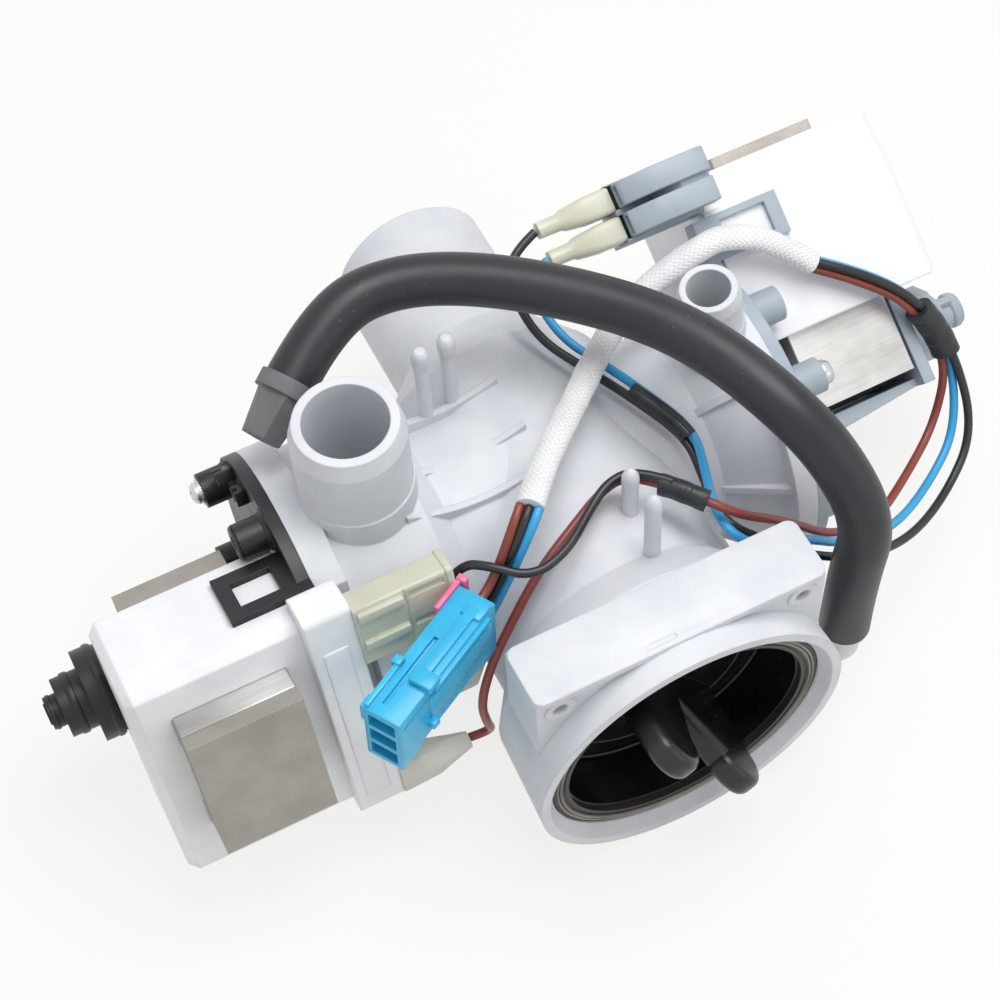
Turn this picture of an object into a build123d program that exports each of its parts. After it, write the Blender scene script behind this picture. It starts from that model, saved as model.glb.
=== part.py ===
"""Washer drain pump: filter barrel, drain pump and circulation pump on one housing.

Frame: millimetres, +Z up. The origin is midway between the two bracket screws,
on the front face of the bracket. The filter mouth looks along -Y, the drain
pump is at -X and the circulation pump at +X.
"""
import os
from math import cos, pi, radians, sin, tan

from build123d import *

os.makedirs("parts", exist_ok=True)

# Placing of the barrel and the pumps
mouth_setback = 9.0            # mouth plane in front of the bracket face
axis_drop = 42.0               # bracket screws above the barrel axis
pump_depth = 98.0              # mouth plane to the pump axis
mouth_y = -mouth_setback
axis_z = -axis_drop
pump_y = mouth_y + pump_depth

# Filter barrel
barrel_radius = 40.5
barrel_wall = 2.8
barrel_length = 132.0          # mouth plane to the start of the cone
collar_radius = 50.0
collar_back_radius = 48.5
collar_length = 30.0
collar_taper = 12.0            # length over which the collar runs into the barrel
lip_radius = 47.0              # inner edge of the mouth
seat_radius = 44.4             # bore in which the cap sits
seat_depth = 4.0               # mouth plane to the start of that bore
seal_room = 6.0
cup_room_radius = 41.6         # bore round the cup of the cap
cup_room_end = 30.0
cone_length = 20.0
inlet_radius = 26.0
inlet_wall = 2.6
inlet_length = 50.0
inlet_shift = 3.5              # the inlet stands a little off the barrel axis
inlet_chamfer = 1.5

# Front bracket
bracket_width = 91.4
bracket_depth = 19.0
bracket_rise = 8.0             # top of the bracket above the screws
bracket_fall = 22.0            # lower end of its ends below the screws
bracket_wall = 2.6
screw_spacing = 77.0
screw_hole_radius = 2.2
screw_boss_radius = 5.2
screw_boss_length = 15.0
notch_width = 13.0
notch_depth = 1.6

# Drain side
drain_face = 83.0              # motor plate face from the barrel plane
circulation_face = 71.0
flange_radius = 50.0
drain_flange_thickness = 9.5
circulation_flange_thickness = 7.0
drum_radius = 46.0
drum_inner = 44.0              # end of the drum towards the barrel
drum_chamfer = 7.0
cone_rim_radius = 45.0
cone_root_radius = 34.0
cone_root = 48.0
room_radius = 27.0             # pump room in which an impeller turns
drain_room_length = 25.0
circulation_room_length = 21.0
eye_radius = 13.5              # opening between the barrel and a pump room
eye_inner = 30.0

gusset_turns = (38.0, 152.0, 200.0, 245.0, 295.0, 340.0)   # degrees round the pump axis
gusset_thickness = 2.4
gusset_foot = 1.5

# Spigots
drain_spigot_x = 58.5
drain_spigot_radius = 17.0
drain_spigot_bore = 12.6
drain_spigot_top = 81.0        # above the barrel axis
drain_spigot_tip = 15.4        # radius at the end of the lead-in
drain_spigot_taper = 6.0
drain_shoulder_radius = 17.6   # the hose stops against this shoulder
drain_shoulder_top = 53.0
circulation_spigot_x = 57.5
circulation_spigot_radius = 9.7
circulation_spigot_bore = 6.7
circulation_spigot_top = 70.0
circulation_spigot_tip = 8.7
circulation_spigot_taper = 4.0
circulation_shoulder_radius = 10.2
circulation_shoulder_top = 54.0
circulation_spigot_lean = 6.0  # degrees towards the barrel
spigot_entry = 6.0             # the bore starts this far inside the pump room

# Webs, pegs and the hose nipple
web_steps = (-15.0, 0.0, 19.0)     # from the pump axis, along the barrel
web_thickness = 2.2
web_inner = 4.0
web_outer = 50.0
web_top = 43.0
web_dip = 3.0
web_dip_place = 38.0
hook_peg_places = ((-27.0, 20.5), (-18.0, 21.5))
hook_peg_radius = 2.3
hook_peg_top = 68.0
lead_peg_places = ((10.0, 58.0), (8.5, 42.0))
lead_peg_tops = (57.0, 66.0)
lead_peg_radius = 2.5
nipple_depth = 20.0            # mouth plane to the elbow nipple
nipple_side = 65.0             # barrel axis to the upright end of the elbow
nipple_drop = 26.0             # elbow below the barrel axis
nipple_radius = 5.6
nipple_bore = 3.8
nipple_top = 2.0
shoulder_top = -14.0           # end of the hose, against a shoulder on the elbow
shoulder_thickness = 2.4
shoulder_radius = 7.4

# Filter cap
cap_radius = 41.0
cap_wall = 2.6
cap_floor_depth = 24.0
cap_floor_thickness = 3.0
cap_flange_thickness = 2.6
wing_round = 3.0
seal_radius = 44.1
seal_inner = 38.8
seal_front = 4.2
seal_web = 2.2
seal_lip = 1.0
seal_back = 9.4
seal_groove = 0.6
seal_groove_radii = (40.4, 42.2)
wing_turn = -56.0              # degrees, line through both wings
wing_spacing = 39.0
wing_radius = 9.6
wing_thickness = 8.6
wing_tip = -14.0               # from the mouth plane, outwards
wing_notch = 13.0
wing_match = 0.29              # how near an edge's radius is to a wing's to be its edge
wing_slope_least = 10.3        # shortest edge that counts as a wing's slope
wing_base_half = 31.0
basket_clearance = 3.1         # basket to the wall of the barrel
basket_radius = barrel_radius - barrel_wall - basket_clearance
basket_wall = 2.0
basket_back = 110.0
basket_border = 5.0
slot_count = 16
slot_width = 7.0
slot_reach = 8.0               # of the slot's cutter, through the wall and past it
slot_rows = 3
slot_gap = 4.0

# Motors: values shared by both
can_radius = 14.0
can_wall = 1.3
can_end_wall = 2.5
core_half = 23.0               # half of the core across its legs
core_stack = 35.0
core_tail = 11.0               # legs past the pump axis
leg_gap = 12.0                 # half of the room between the legs
leg_gap_start = 13.5
core_bore = 14.3
plate_thickness = 4.0
boss_radius = 5.6
boss_length = 9.5              # from the plate outwards
boss_circle_radius = 43.0
register_radius = 26.7
register_wall = 2.4
register_length = 3.0
gasket_width = 2.2
gasket_depth = 2.4
screw_radius = 1.75
screw_head_radius = 3.4
screw_head_height = 2.4
screw_length = 20.0
magnet_radius = 12.0
magnet_gap = 1.2               # magnet to the rear bush
magnet_near = 16.3             # plate face to the magnet
shaft_radius = 2.0
bush_radius = 4.6
bush_length = 7.0
bush_bore = 2.05
impeller_radius = 22.0
impeller_hub = 7.0
impeller_disc = 2.0
impeller_near = 5.5            # plate face to the disc of the impeller
blade_count = 6
blade_height = 9.0
blade_thickness = 2.0
blade_sweep = 34.0             # degrees between the root and the tip of a blade
shaft_nose = 6.0               # shaft past the impeller disc
shaft_end_gap = 1.0
front_bush_near = 1.0
blade_bow_share = 0.35

# Drain motor
drain_tilt = 16.0              # degrees, yoke end raised
drain_core_near = 16.5         # plate face to the core
drain_yoke_out = 60.0          # pump axis to the outer face of the yoke
drain_yoke_in = 46.2
drain_shell_back = 8.0
drain_shell_front = 46.2
drain_shell_up = 36.0
drain_shell_down = 42.0
drain_shell_near = 5.5         # plate face to the shell
drain_shell_far = 62.5
drain_shell_chamfer = 2.6
drain_step_near = 5.0          # terminal end of the shell, towards the barrel
drain_step_back = 38.0
drain_step_front = 52.0
drain_step_up = 41.0
drain_step_lap = 4.0
drain_plate_cut = 36.0
drain_boss_angles = (30.0, 88.0, -30.0, -90.0)
drain_screw_angles = (30.0, -30.0, -90.0)
drain_can_radii = (14.6, 9.4, 5.2)
drain_can_steps = (6.5, 8.5, 4.0)
drain_can_body = 63.0
loop_back = 16.7
loop_front = 36.2
loop_reach = 25.5
loop_thickness = 2.2
loop_rim = 4.6

# Circulation motor
circulation_tilt = 147.5       # degrees, yoke end up and back
circulation_core_near = 16.3
circulation_yoke_out = 74.5
circulation_yoke_in = 60.0
circulation_shell_front = 14.4
circulation_shell_back = 71.0
circulation_shell_step = 59.5
circulation_shell_up = 27.5
circulation_shell_low = 25.2
circulation_shell_down = 35.0
circulation_shell_near = 5.5
circulation_shell_far = 70.0
circulation_boss_angles = (122.0, 86.5, 182.0, -118.0, -58.0)
circulation_screw_angles = (122.0, -118.0, -58.0)
cheek_near = 52.0
cheek_thickness = 4.0
cheek_front = 17.0
cheek_back = 14.2
cheek_half = 24.0
tray_deep = 22.0
tray_low = 16.5
tray_high = 14.4
tray_side = 18.0
circulation_can_body = 55.0    # plate face to the end wall of the bore
rear_block_radius = 12.4
rear_block_past = 17.0         # rear block past the end wall of the bore
rear_block_end = circulation_can_body + rear_block_past
rear_knob_radius = 5.2
rear_knob_length = 10.8
strap_back = 58.0
strap_front = 44.0
strap_thickness = 2.2
strap_reach = 29.0

# Terminals, plugs and boots
blade_width = 6.3
blade_stock = 0.8
blade_reach = 8.0
plug_length = 27.0
plug_back = 44.0
plug_front = 53.0
plug_up = 41.0
plug_low = 17.0
plug_rib_places = (-36.0, -25.0)
plug_rib_width = 3.2
plug_rib_height = 1.6
rib_round_share = 1 / 3        # of a rib's height that its corners take
plug_rib_length = 14.0
plug_blade_places = (-35.0, -23.0)
block_end = 50.0
block_tail = 60.0
block_top = 30.0
block_low = 14.0
block_width = 19.0
tower_height = 12.0
tower_width = 7.6
tower_length = 17.0
tower_places = (65.0, 74.5)
tower_start = 55.0
boot_length = 24.0
boot_width = 8.0
boot_height = 11.0
boot_neck_length = 8.0
boot_neck = 5.4
clear_boot_up = -30.0
clear_boot_low = -41.0
clear_boot_length = 24.0
clear_blade = -35.5

# Three way connector: place of its open end, run and size
connector_start = (-85.3, 24.2, 39.9)    # from the middle of the mouth
connector_run = (43.0, 25.5, -4.3)
connector_length = 48.0
connector_width = 23.0
connector_thickness = 12.2
cavity_depth = 14.0
cavity_width = 5.2
cavity_height = 8.8
cavity_pitch = 6.9
latch_length = 17.0
latch_width = 8.0
latch_height = 2.4
side_rib_width = 1.6
side_rib_length = 30.0
retainer_length = 14.0
retainer_width = 1.8
retainer_height = 5.0
retainer_past = 3.0            # retainer past the end of the connector
lean_of_connector = 86.0       # degrees, wide face of the connector from the level

# Hose, sleeve and leads; every route is given from the middle of the mouth
hose_radius = 7.9
hose_bore = 5.6
hose_plug_stub = 8.5
hose_plug_collar = 9.2
hose_plug_collar_length = 5.0
hose_plug_body = 8.6
hose_plug_end = 6.6
hose_plug_length = 19.0
sleeve_radius = 4.0
lead_radius = 1.15
wrap_radius = 4.7
arc_share = 0.45
plug_clearance = 0.05
stub_end_gap = 0.5
tape_share = 0.9
wrap_share = 0.7               # part of the run between its two points that it covers
tape_radius = 3.6
shrink_radius = 3.8
stub_straight = 7.0
stub_spread = 2.75             # between the leads at the sleeve
hose_route = (
    (65.0, 20.0, -14.0),
    (65.0, 20.0, 14.0),
    (68.8, 21.0, 39.9),
    (62.8, 33.9, 61.4),
    (54.7, 49.9, 73.3),
    (44.4, 78.6, 76.1),
    (28.4, 103.2, 75.1),
    (0.6, 128.3, 75.4),
    (-25.0, 141.4, 75.0),
    (-46.5, 140.0, 73.0),
    (-63.5, 129.0, 65.0),
)
sleeve_route = (
    (-17.5, 64.5, 59.5),
    (-8.1, 74.9, 58.5),
    (4.9, 86.5, 54.8),
    (19.8, 101.6, 49.0),
    (38.8, 117.4, 47.5),
    (58.7, 120.6, 55.0),
    (82.3, 119.7, 62.0),
    (100.4, 107.1, 46.0),
)
brown_route = (
    (99.6, 105.9, 44.8),
    (112.2, 97.6, 40.4),
    (125.9, 87.0, 31.5),
    (135.6, 76.7, 9.5),
    (128.0, 68.0, -10.0),
    (110.0, 56.0, -12.0),
    (90.0, 43.0, -6.0),
    (69.0, 38.0, 8.0),
    (55.0, 39.5, 24.0),
    (44.5, 38.5, 36.0),
    (35.0, 39.0, 45.0),
    (27.5, 46.0, 48.5),
    (20.0, 56.0, 48.5),
    (11.5, 65.0, 47.0),
    (2.5, 64.0, 44.5),
    (-9.0, 57.5, 45.0),
    (-22.5, 51.5, 41.5),
    (-34.0, 45.5, 33.5),
    (-44.5, 41.5, 19.0),
    (-50.0, 39.0, 3.0),
    (-48.5, 38.7, -10.0),
    (-46.3, 40.5, -19.5),
    (-53.6, 42.1, -20.9),
)
blue_route = (
    (101.5, 108.4, 45.4),
    (114.4, 100.1, 41.1),
    (128.2, 88.8, 31.7),
    (137.9, 78.5, 9.7),
    (133.0, 63.0, -11.0),
    (116.0, 51.5, -15.5),
    (94.5, 39.5, -9.0),
    (72.0, 35.0, 5.5),
    (57.5, 35.5, 19.0),
    (46.0, 34.0, 28.0),
    (36.0, 33.0, 36.3),
    (31.0, 37.5, 41.3),
    (32.0, 48.0, 39.0),
    (37.5, 62.0, 35.8),
    (41.4, 76.0, 36.3),
    (32.0, 92.0, 43.0),
    (27.0, 108.0, 40.5),
    (20.5, 119.5, 42.5),
    (18.0, 131.0, 48.0),
    (18.0, 138.6, 54.2),
    (25.6, 139.7, 55.6),
)
black_route = (
    (101.2, 105.7, 47.1),
    (113.8, 97.5, 43.1),
    (128.2, 86.1, 32.9),
    (137.9, 75.8, 10.9),
    (138.0, 60.0, -12.0),
    (120.5, 47.5, -20.0),
    (98.0, 35.5, -13.0),
    (76.0, 31.0, 0.0),
    (61.5, 31.5, 11.5),
    (50.5, 34.0, 19.5),
    (42.5, 37.0, 28.5),
    (35.0, 41.0, 35.0),
    (34.0, 50.0, 34.3),
    (37.0, 62.0, 31.8),
    (38.9, 75.2, 34.0),
    (29.0, 90.7, 41.5),
    (21.5, 109.0, 40.5),
    (13.5, 122.0, 44.0),
    (11.5, 135.0, 51.5),
    (14.0, 144.5, 58.0),
    (25.6, 147.7, 60.7),
)
drain_lead_route = (
    (21.8, 54.2, 51.0),
    (14.5, 62.8, 51.0),
    (5.5, 63.5, 50.0),
    (-4.0, 57.5, 49.0),
    (-14.5, 49.3, 49.0),
    (-27.5, 46.0, 48.5),
    (-37.5, 54.5, 50.5),
    (-43.5, 60.2, 47.5),
    (-49.6, 59.2, 41.3),
)


def motor_plane(x: float, tilt: float) -> Plane:
    """Plane across the pump axis; its x points to the yoke, its z along +X."""
    return Plane(
        origin=(x, pump_y, axis_z),
        x_dir=(0, -cos(radians(tilt)), sin(radians(tilt))),
        z_dir=(1, 0, 0),
    )


def across(x: float) -> Plane:
    """Plane across the pump axis with its y pointing up."""
    return Plane(origin=(x, pump_y, axis_z), x_dir=(0, 1, 0), z_dir=(1, 0, 0))


def barrel_plane(depth: float, shift: float = 0.0) -> Plane:
    """Plane across the barrel, at a depth behind the mouth, looking back."""
    return Plane(origin=(shift, mouth_y + depth, axis_z), x_dir=(-1, 0, 0), z_dir=(0, 1, 0))


barrel_side = Plane(origin=(0, mouth_y, axis_z), x_dir=(0, 1, 0), z_dir=(1, 0, 0))
barrel_axis = Axis((0, mouth_y, axis_z), (0, 1, 0))

barrel_outside = (
    (0, 0),
    (0, collar_radius),
    (collar_length, collar_back_radius),
    (collar_length + collar_taper, barrel_radius),
    (barrel_length, barrel_radius),
    (barrel_length, 0),
)

# Housing: barrel, collar, bracket, inlet, pump chambers and spigots
with BuildPart() as pump_housing:
    with BuildSketch(barrel_side):
        with BuildLine():
            Polyline(*barrel_outside, close=True)
        make_face()
    revolve(axis=barrel_axis)

    # Cone and tub inlet
    with BuildSketch(barrel_plane(barrel_length)):
        Circle(barrel_radius)
    with BuildSketch(barrel_plane(barrel_length + cone_length, inlet_shift)):
        Circle(inlet_radius)
    loft()
    with BuildSketch(barrel_plane(barrel_length + cone_length, inlet_shift)):
        Circle(inlet_radius)
    extrude(amount=inlet_length)
    chamfer(pump_housing.faces().sort_by(Axis.Y)[-1].edges(), length=inlet_chamfer)

    # Bracket: a block that runs down tangent to the collar
    with BuildSketch(Plane(origin=(0, 0, 0), x_dir=(1, 0, 0), z_dir=(0, -1, 0))) :
        with BuildLine():
            Polyline(
                (-bracket_width / 2, -bracket_fall),
                (-bracket_width / 2, bracket_rise),
                (-notch_width / 2, bracket_rise),
                (-notch_width / 2, bracket_rise - notch_depth),
                (notch_width / 2, bracket_rise - notch_depth),
                (notch_width / 2, bracket_rise),
                (bracket_width / 2, bracket_rise),
                (bracket_width / 2, -bracket_fall),
                close=True,
            )
        make_face()
    extrude(amount=-bracket_depth)
    upright = pump_housing.edges().filter_by(Axis.Y).filter_by_position(
        Axis.Y, bracket_depth / 2 - mouth_setback, bracket_depth / 2 + mouth_setback
    )
    corners = [e for e in upright if abs(abs(e.center().X) - bracket_width / 2) < bracket_wall / 2 and e.center().Z > 0]
    fillet(corners, radius=bracket_wall)

    # Hollow back of the bracket, over the barrel
    with BuildSketch(Plane(origin=(0, bracket_depth, 0), x_dir=(1, 0, 0), z_dir=(0, -1, 0))):
        with BuildLine():
            Polyline(
                (-bracket_width / 2 + bracket_wall, -bracket_fall),
                (-bracket_width / 2 + bracket_wall, bracket_rise - notch_depth - bracket_wall),
                (bracket_width / 2 - bracket_wall, bracket_rise - notch_depth - bracket_wall),
                (bracket_width / 2 - bracket_wall, -bracket_fall),
                close=True,
            )
        make_face()
    extrude(amount=bracket_depth - bracket_wall, mode=Mode.SUBTRACT)

    # Collar and barrel again, through the hollow
    with BuildSketch(barrel_side):
        with BuildLine():
            Polyline(*barrel_outside, close=True)
        make_face()
    revolve(axis=barrel_axis)
    with BuildSketch(Plane(origin=(0, 0, 0), x_dir=(1, 0, 0), z_dir=(0, 1, 0))):
        with Locations((-screw_spacing / 2, 0), (screw_spacing / 2, 0)):
            Circle(screw_boss_radius)
    extrude(amount=screw_boss_length)

    # Drain chamber
    with BuildSketch(across(-drain_face)):
        Circle(flange_radius)
    extrude(amount=drain_flange_thickness)
    with BuildSketch(across(-drain_face)):
        Circle(drum_radius)
    extrude(amount=drain_face - drum_inner)
    with BuildSketch(across(-drum_inner)):
        Circle(drum_radius)
    with BuildSketch(across(-drum_inner + drum_chamfer)):
        Circle(drum_radius - drum_chamfer)
    loft()
    with BuildSketch(across(-drum_inner + drum_chamfer)):
        Circle(drum_radius - drum_chamfer)
    extrude(amount=drum_inner - drum_chamfer)

    # Circulation chamber
    with BuildSketch(across(circulation_face)):
        Circle(flange_radius)
    extrude(amount=-circulation_flange_thickness)
    cone_rim = circulation_face - circulation_flange_thickness
    with BuildSketch(across(cone_root)):
        Circle(cone_root_radius)
    with BuildSketch(across(cone_rim)):
        Circle(cone_rim_radius)
    loft()
    with BuildSketch(across(cone_root)):
        Circle(cone_root_radius)
    extrude(amount=-cone_root)

    # Gussets on the cone, inside its rim
    for turn in gusset_turns:
        gusset_plane = Plane(
            origin=(0, pump_y, axis_z),
            x_dir=(1, 0, 0),
            z_dir=(0, sin(radians(turn)), -cos(radians(turn))),
        )
        with BuildSketch(gusset_plane):
            with BuildLine():
                Polyline(
                    (cone_root - gusset_foot, 0),
                    (cone_root - gusset_foot, cone_root_radius),
                    (cone_rim, flange_radius - gusset_foot),
                    (cone_rim, 0),
                    close=True,
                )
            make_face()
        extrude(amount=gusset_thickness / 2, both=True)

    # Outlet spigots, each with a shoulder that stops the hose
    drain_spigot_base = Plane(origin=(-drain_spigot_x, pump_y, axis_z))
    circulation_spigot_base = Plane(
        origin=(
            circulation_spigot_x + circulation_spigot_top * tan(radians(circulation_spigot_lean)),
            pump_y,
            axis_z,
        ),
        x_dir=(cos(radians(circulation_spigot_lean)), 0, sin(radians(circulation_spigot_lean))),
        z_dir=(-sin(radians(circulation_spigot_lean)), 0, cos(radians(circulation_spigot_lean))),
    )
    for base, radius, tip, top, taper, shoulder_size, shoulder_rise in (
        (
            drain_spigot_base,
            drain_spigot_radius,
            drain_spigot_tip,
            drain_spigot_top,
            drain_spigot_taper,
            drain_shoulder_radius,
            drain_shoulder_top,
        ),
        (
            circulation_spigot_base,
            circulation_spigot_radius,
            circulation_spigot_tip,
            circulation_spigot_top,
            circulation_spigot_taper,
            circulation_shoulder_radius,
            circulation_shoulder_top,
        ),
    ):
        with BuildSketch(base):
            Circle(shoulder_size)
        extrude(amount=shoulder_rise)
        with BuildSketch(base):
            Circle(radius)
        extrude(amount=top - taper)
        with BuildSketch(base.offset(top - taper)):
            Circle(radius)
        with BuildSketch(base.offset(top)):
            Circle(tip)
        loft()
    with BuildSketch(across(circulation_face)):
        Circle(flange_radius)
    extrude(amount=circulation_shoulder_radius, mode=Mode.SUBTRACT)

    # Webs between the drain spigot and the barrel
    for step in web_steps:
        with BuildSketch(barrel_plane(pump_depth + step)):
            with BuildLine():
                Polyline((web_inner, web_top), (web_inner, 0), (web_outer, 0), (web_outer, web_top + web_dip))
                ThreePointArc(
                    (web_outer, web_top + web_dip),
                    (web_dip_place, web_top - web_dip),
                    (web_inner, web_top),
                )
            make_face()
        extrude(amount=web_thickness / 2, both=True)

    # Pegs that hold the leads
    for place in hook_peg_places:
        with BuildSketch(Plane(origin=(place[0], pump_y + place[1], axis_z))):
            Circle(hook_peg_radius)
        extrude(amount=hook_peg_top)
    for place, top in zip(lead_peg_places, lead_peg_tops):
        with BuildSketch(Plane(origin=(place[0], mouth_y + place[1], axis_z))):
            Circle(lead_peg_radius)
        extrude(amount=top)

    # Elbow nipple on the low side of the mouth, with a shoulder for the hose
    elbow_along = Plane(origin=(0, mouth_y + nipple_depth, axis_z - nipple_drop), x_dir=(0, 1, 0), z_dir=(1, 0, 0))
    elbow_up = Plane(origin=(nipple_side, mouth_y + nipple_depth, axis_z - nipple_drop))
    with BuildSketch(elbow_along):
        Circle(nipple_radius)
    extrude(amount=nipple_side)
    with BuildSketch(elbow_up):
        Circle(nipple_radius)
    extrude(amount=nipple_drop + nipple_top)
    with BuildSketch(elbow_up.offset(nipple_drop + shoulder_top - shoulder_thickness)):
        Circle(shoulder_radius)
    extrude(amount=shoulder_thickness)
    with Locations(elbow_up.origin):
        Sphere(nipple_radius)

    # Hollows: mouth, cap seat, barrel, cone and inlet
    with BuildSketch(barrel_side):
        with BuildLine():
            Polyline(
                (0, 0),
                (0, lip_radius),
                (seat_depth, seat_radius),
                (seat_depth + seal_room, seat_radius),
                (seat_depth + seal_room, cup_room_radius),
                (cup_room_end, cup_room_radius),
                (cup_room_end, barrel_radius - barrel_wall),
                (barrel_length, barrel_radius - barrel_wall),
                (barrel_length, 0),
                close=True,
            )
        make_face()
    revolve(axis=barrel_axis, mode=Mode.SUBTRACT)
    with BuildSketch(barrel_plane(barrel_length)):
        Circle(barrel_radius - barrel_wall)
    with BuildSketch(barrel_plane(barrel_length + cone_length, inlet_shift)):
        Circle(inlet_radius - inlet_wall)
    loft(mode=Mode.SUBTRACT)
    with BuildSketch(barrel_plane(barrel_length + cone_length, inlet_shift)):
        Circle(inlet_radius - inlet_wall)
    extrude(amount=inlet_length, mode=Mode.SUBTRACT)

    # Hollows: pump rooms, eyes, outlets and the nipple
    with BuildSketch(across(-drain_face)):
        Circle(room_radius)
    extrude(amount=drain_room_length, mode=Mode.SUBTRACT)
    with BuildSketch(across(-drain_face)):
        Circle(eye_radius)
    extrude(amount=drain_face - eye_inner, mode=Mode.SUBTRACT)
    with BuildSketch(across(circulation_face)):
        Circle(room_radius)
    extrude(amount=-circulation_room_length, mode=Mode.SUBTRACT)
    with BuildSketch(across(circulation_face)):
        Circle(eye_radius)
    extrude(amount=eye_inner - circulation_face, mode=Mode.SUBTRACT)
    with BuildSketch(drain_spigot_base.offset(room_radius - spigot_entry)):
        Circle(drain_spigot_bore)
    extrude(amount=drain_spigot_top, mode=Mode.SUBTRACT)
    with BuildSketch(circulation_spigot_base.offset(room_radius - spigot_entry)):
        Circle(circulation_spigot_bore)
    extrude(amount=circulation_spigot_top, mode=Mode.SUBTRACT)
    with BuildSketch(elbow_along.offset(eye_inner)):
        Circle(nipple_bore)
    extrude(amount=nipple_side - eye_inner, mode=Mode.SUBTRACT)
    with BuildSketch(elbow_up):
        Circle(nipple_bore)
    extrude(amount=nipple_drop + nipple_top, mode=Mode.SUBTRACT)

    # Room for the terminal end of the drain motor beside the flange
    with BuildSketch(motor_plane(-drain_face, drain_tilt)):
        with Locations((drain_plate_cut + flange_radius, 0)):
            Rectangle(flange_radius * 2, flange_radius * 2)
    extrude(amount=drain_flange_thickness, mode=Mode.SUBTRACT)

    # Gasket seats and screw holes for the motor plates
    for face, inward, angles in (
        (-drain_face, 1, drain_screw_angles),
        (circulation_face, -1, circulation_screw_angles),
    ):
        with BuildSketch(across(face)):
            Circle(room_radius + gasket_width)
        extrude(amount=inward * gasket_depth, mode=Mode.SUBTRACT)
        with BuildSketch(across(face)):
            for angle in angles:
                with PolarLocations(boss_circle_radius, 1, start_angle=angle):
                    Circle(screw_radius)
        extrude(amount=inward * (screw_length - boss_length - plate_thickness), mode=Mode.SUBTRACT)

    # Screw holes of the bracket
    with BuildSketch(Plane(origin=(0, 0, 0), x_dir=(1, 0, 0), z_dir=(0, 1, 0))):
        with Locations((-screw_spacing / 2, 0), (screw_spacing / 2, 0)):
            Circle(screw_hole_radius)
    extrude(amount=screw_boss_length, mode=Mode.SUBTRACT)

pump_housing.part.label = "pump_housing"
export_step(pump_housing.part, "parts/pump_housing.step")
print("housing solids", len(pump_housing.part.solids()), "volume", round(pump_housing.part.volume))

# Filter cap: a cup with a grip of two rounded wings
with BuildPart() as filter_cap:
    with BuildSketch(barrel_side):
        with BuildLine():
            Polyline(
                (seal_front + seal_web, cap_radius - cap_wall),
                (seal_front + seal_web, seal_radius - seal_lip),
                (seal_front + seal_web + cap_flange_thickness, seal_radius - seal_lip),
                (seal_front + seal_web + cap_flange_thickness, cap_radius),
                (cap_floor_depth + cap_floor_thickness, cap_radius),
                (cap_floor_depth + cap_floor_thickness, 0),
                (cap_floor_depth, 0),
                (cap_floor_depth, cap_radius - cap_wall),
                close=True,
            )
        make_face()
    revolve(axis=barrel_axis)
    wing_plane = Plane(
        origin=(0, mouth_y, axis_z),
        x_dir=(cos(radians(wing_turn)), 0, sin(radians(wing_turn))),
        z_dir=(-sin(radians(wing_turn)), 0, cos(radians(wing_turn))),
    )
    with BuildSketch(wing_plane):
        with BuildLine():
            half = wing_spacing / 2
            shoulder = wing_tip + wing_radius
            Polyline(
                (-half - wing_radius, shoulder),
                (-wing_base_half, cap_floor_depth),
                (wing_base_half, cap_floor_depth),
                (half + wing_radius, shoulder),
            )
            ThreePointArc((half + wing_radius, shoulder), (half, wing_tip), (half - wing_radius, shoulder))
            Polyline((half - wing_radius, shoulder), (0, wing_notch), (-half + wing_radius, shoulder))
            ThreePointArc((-half + wing_radius, shoulder), (-half, wing_tip), (-half - wing_radius, shoulder))
        make_face()
    extrude(amount=wing_thickness / 2, both=True)
    rounded = filter_cap.edges().filter_by(GeomType.CIRCLE)
    straight = filter_cap.edges().filter_by(GeomType.LINE)
    sides = rounded.filter_by(lambda e: abs(e.radius - wing_radius) < wing_match)
    slopes = straight.filter_by(lambda e: e.center().Y < mouth_y + wing_notch and e.length > wing_slope_least)
    fillet(sides + slopes, radius=wing_round)

filter_cap.part.label = "filter_cap"
export_step(filter_cap.part, "parts/filter_cap.step")

# Seal on the rim of the cap, with fine grooves on its face
with BuildPart() as cap_seal:
    with BuildSketch(barrel_side):
        with BuildLine():
            Polyline(
                (seal_front, seal_inner),
                (seal_front, seal_radius),
                (seal_back, seal_radius),
                (seal_back, seal_radius - seal_lip),
                (seal_front + seal_web, seal_radius - seal_lip),
                (seal_front + seal_web, seal_inner),
                close=True,
            )
        make_face()
    revolve(axis=barrel_axis)
    for groove_radius in seal_groove_radii:
        with BuildSketch(barrel_side):
            with Locations((seal_front, groove_radius)):
                Rectangle(seal_groove, seal_groove)
        revolve(axis=barrel_axis, mode=Mode.SUBTRACT)

cap_seal.part.label = "cap_seal"
export_step(cap_seal.part, "parts/cap_seal.step")

# Filter basket: slotted cage that catches lint and coins
with BuildPart() as filter_basket:
    basket_front = cap_floor_depth + cap_floor_thickness
    with BuildSketch(barrel_plane(basket_front)):
        Circle(basket_radius)
        Circle(basket_radius - basket_wall, mode=Mode.SUBTRACT)
    extrude(amount=basket_back - basket_front)
    slot_span = (basket_back - basket_front - basket_border - basket_border - slot_gap * (slot_rows - 1)) / slot_rows
    for row in range(slot_rows):
        start = basket_front + basket_border + row * (slot_span + slot_gap)
        with BuildSketch(barrel_plane(start)):
            with PolarLocations(basket_radius, slot_count):
                Rectangle(slot_reach, slot_width)
        extrude(amount=slot_span, mode=Mode.SUBTRACT)

filter_basket.part.label = "filter_basket"
export_step(filter_basket.part, "parts/filter_basket.step")

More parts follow.
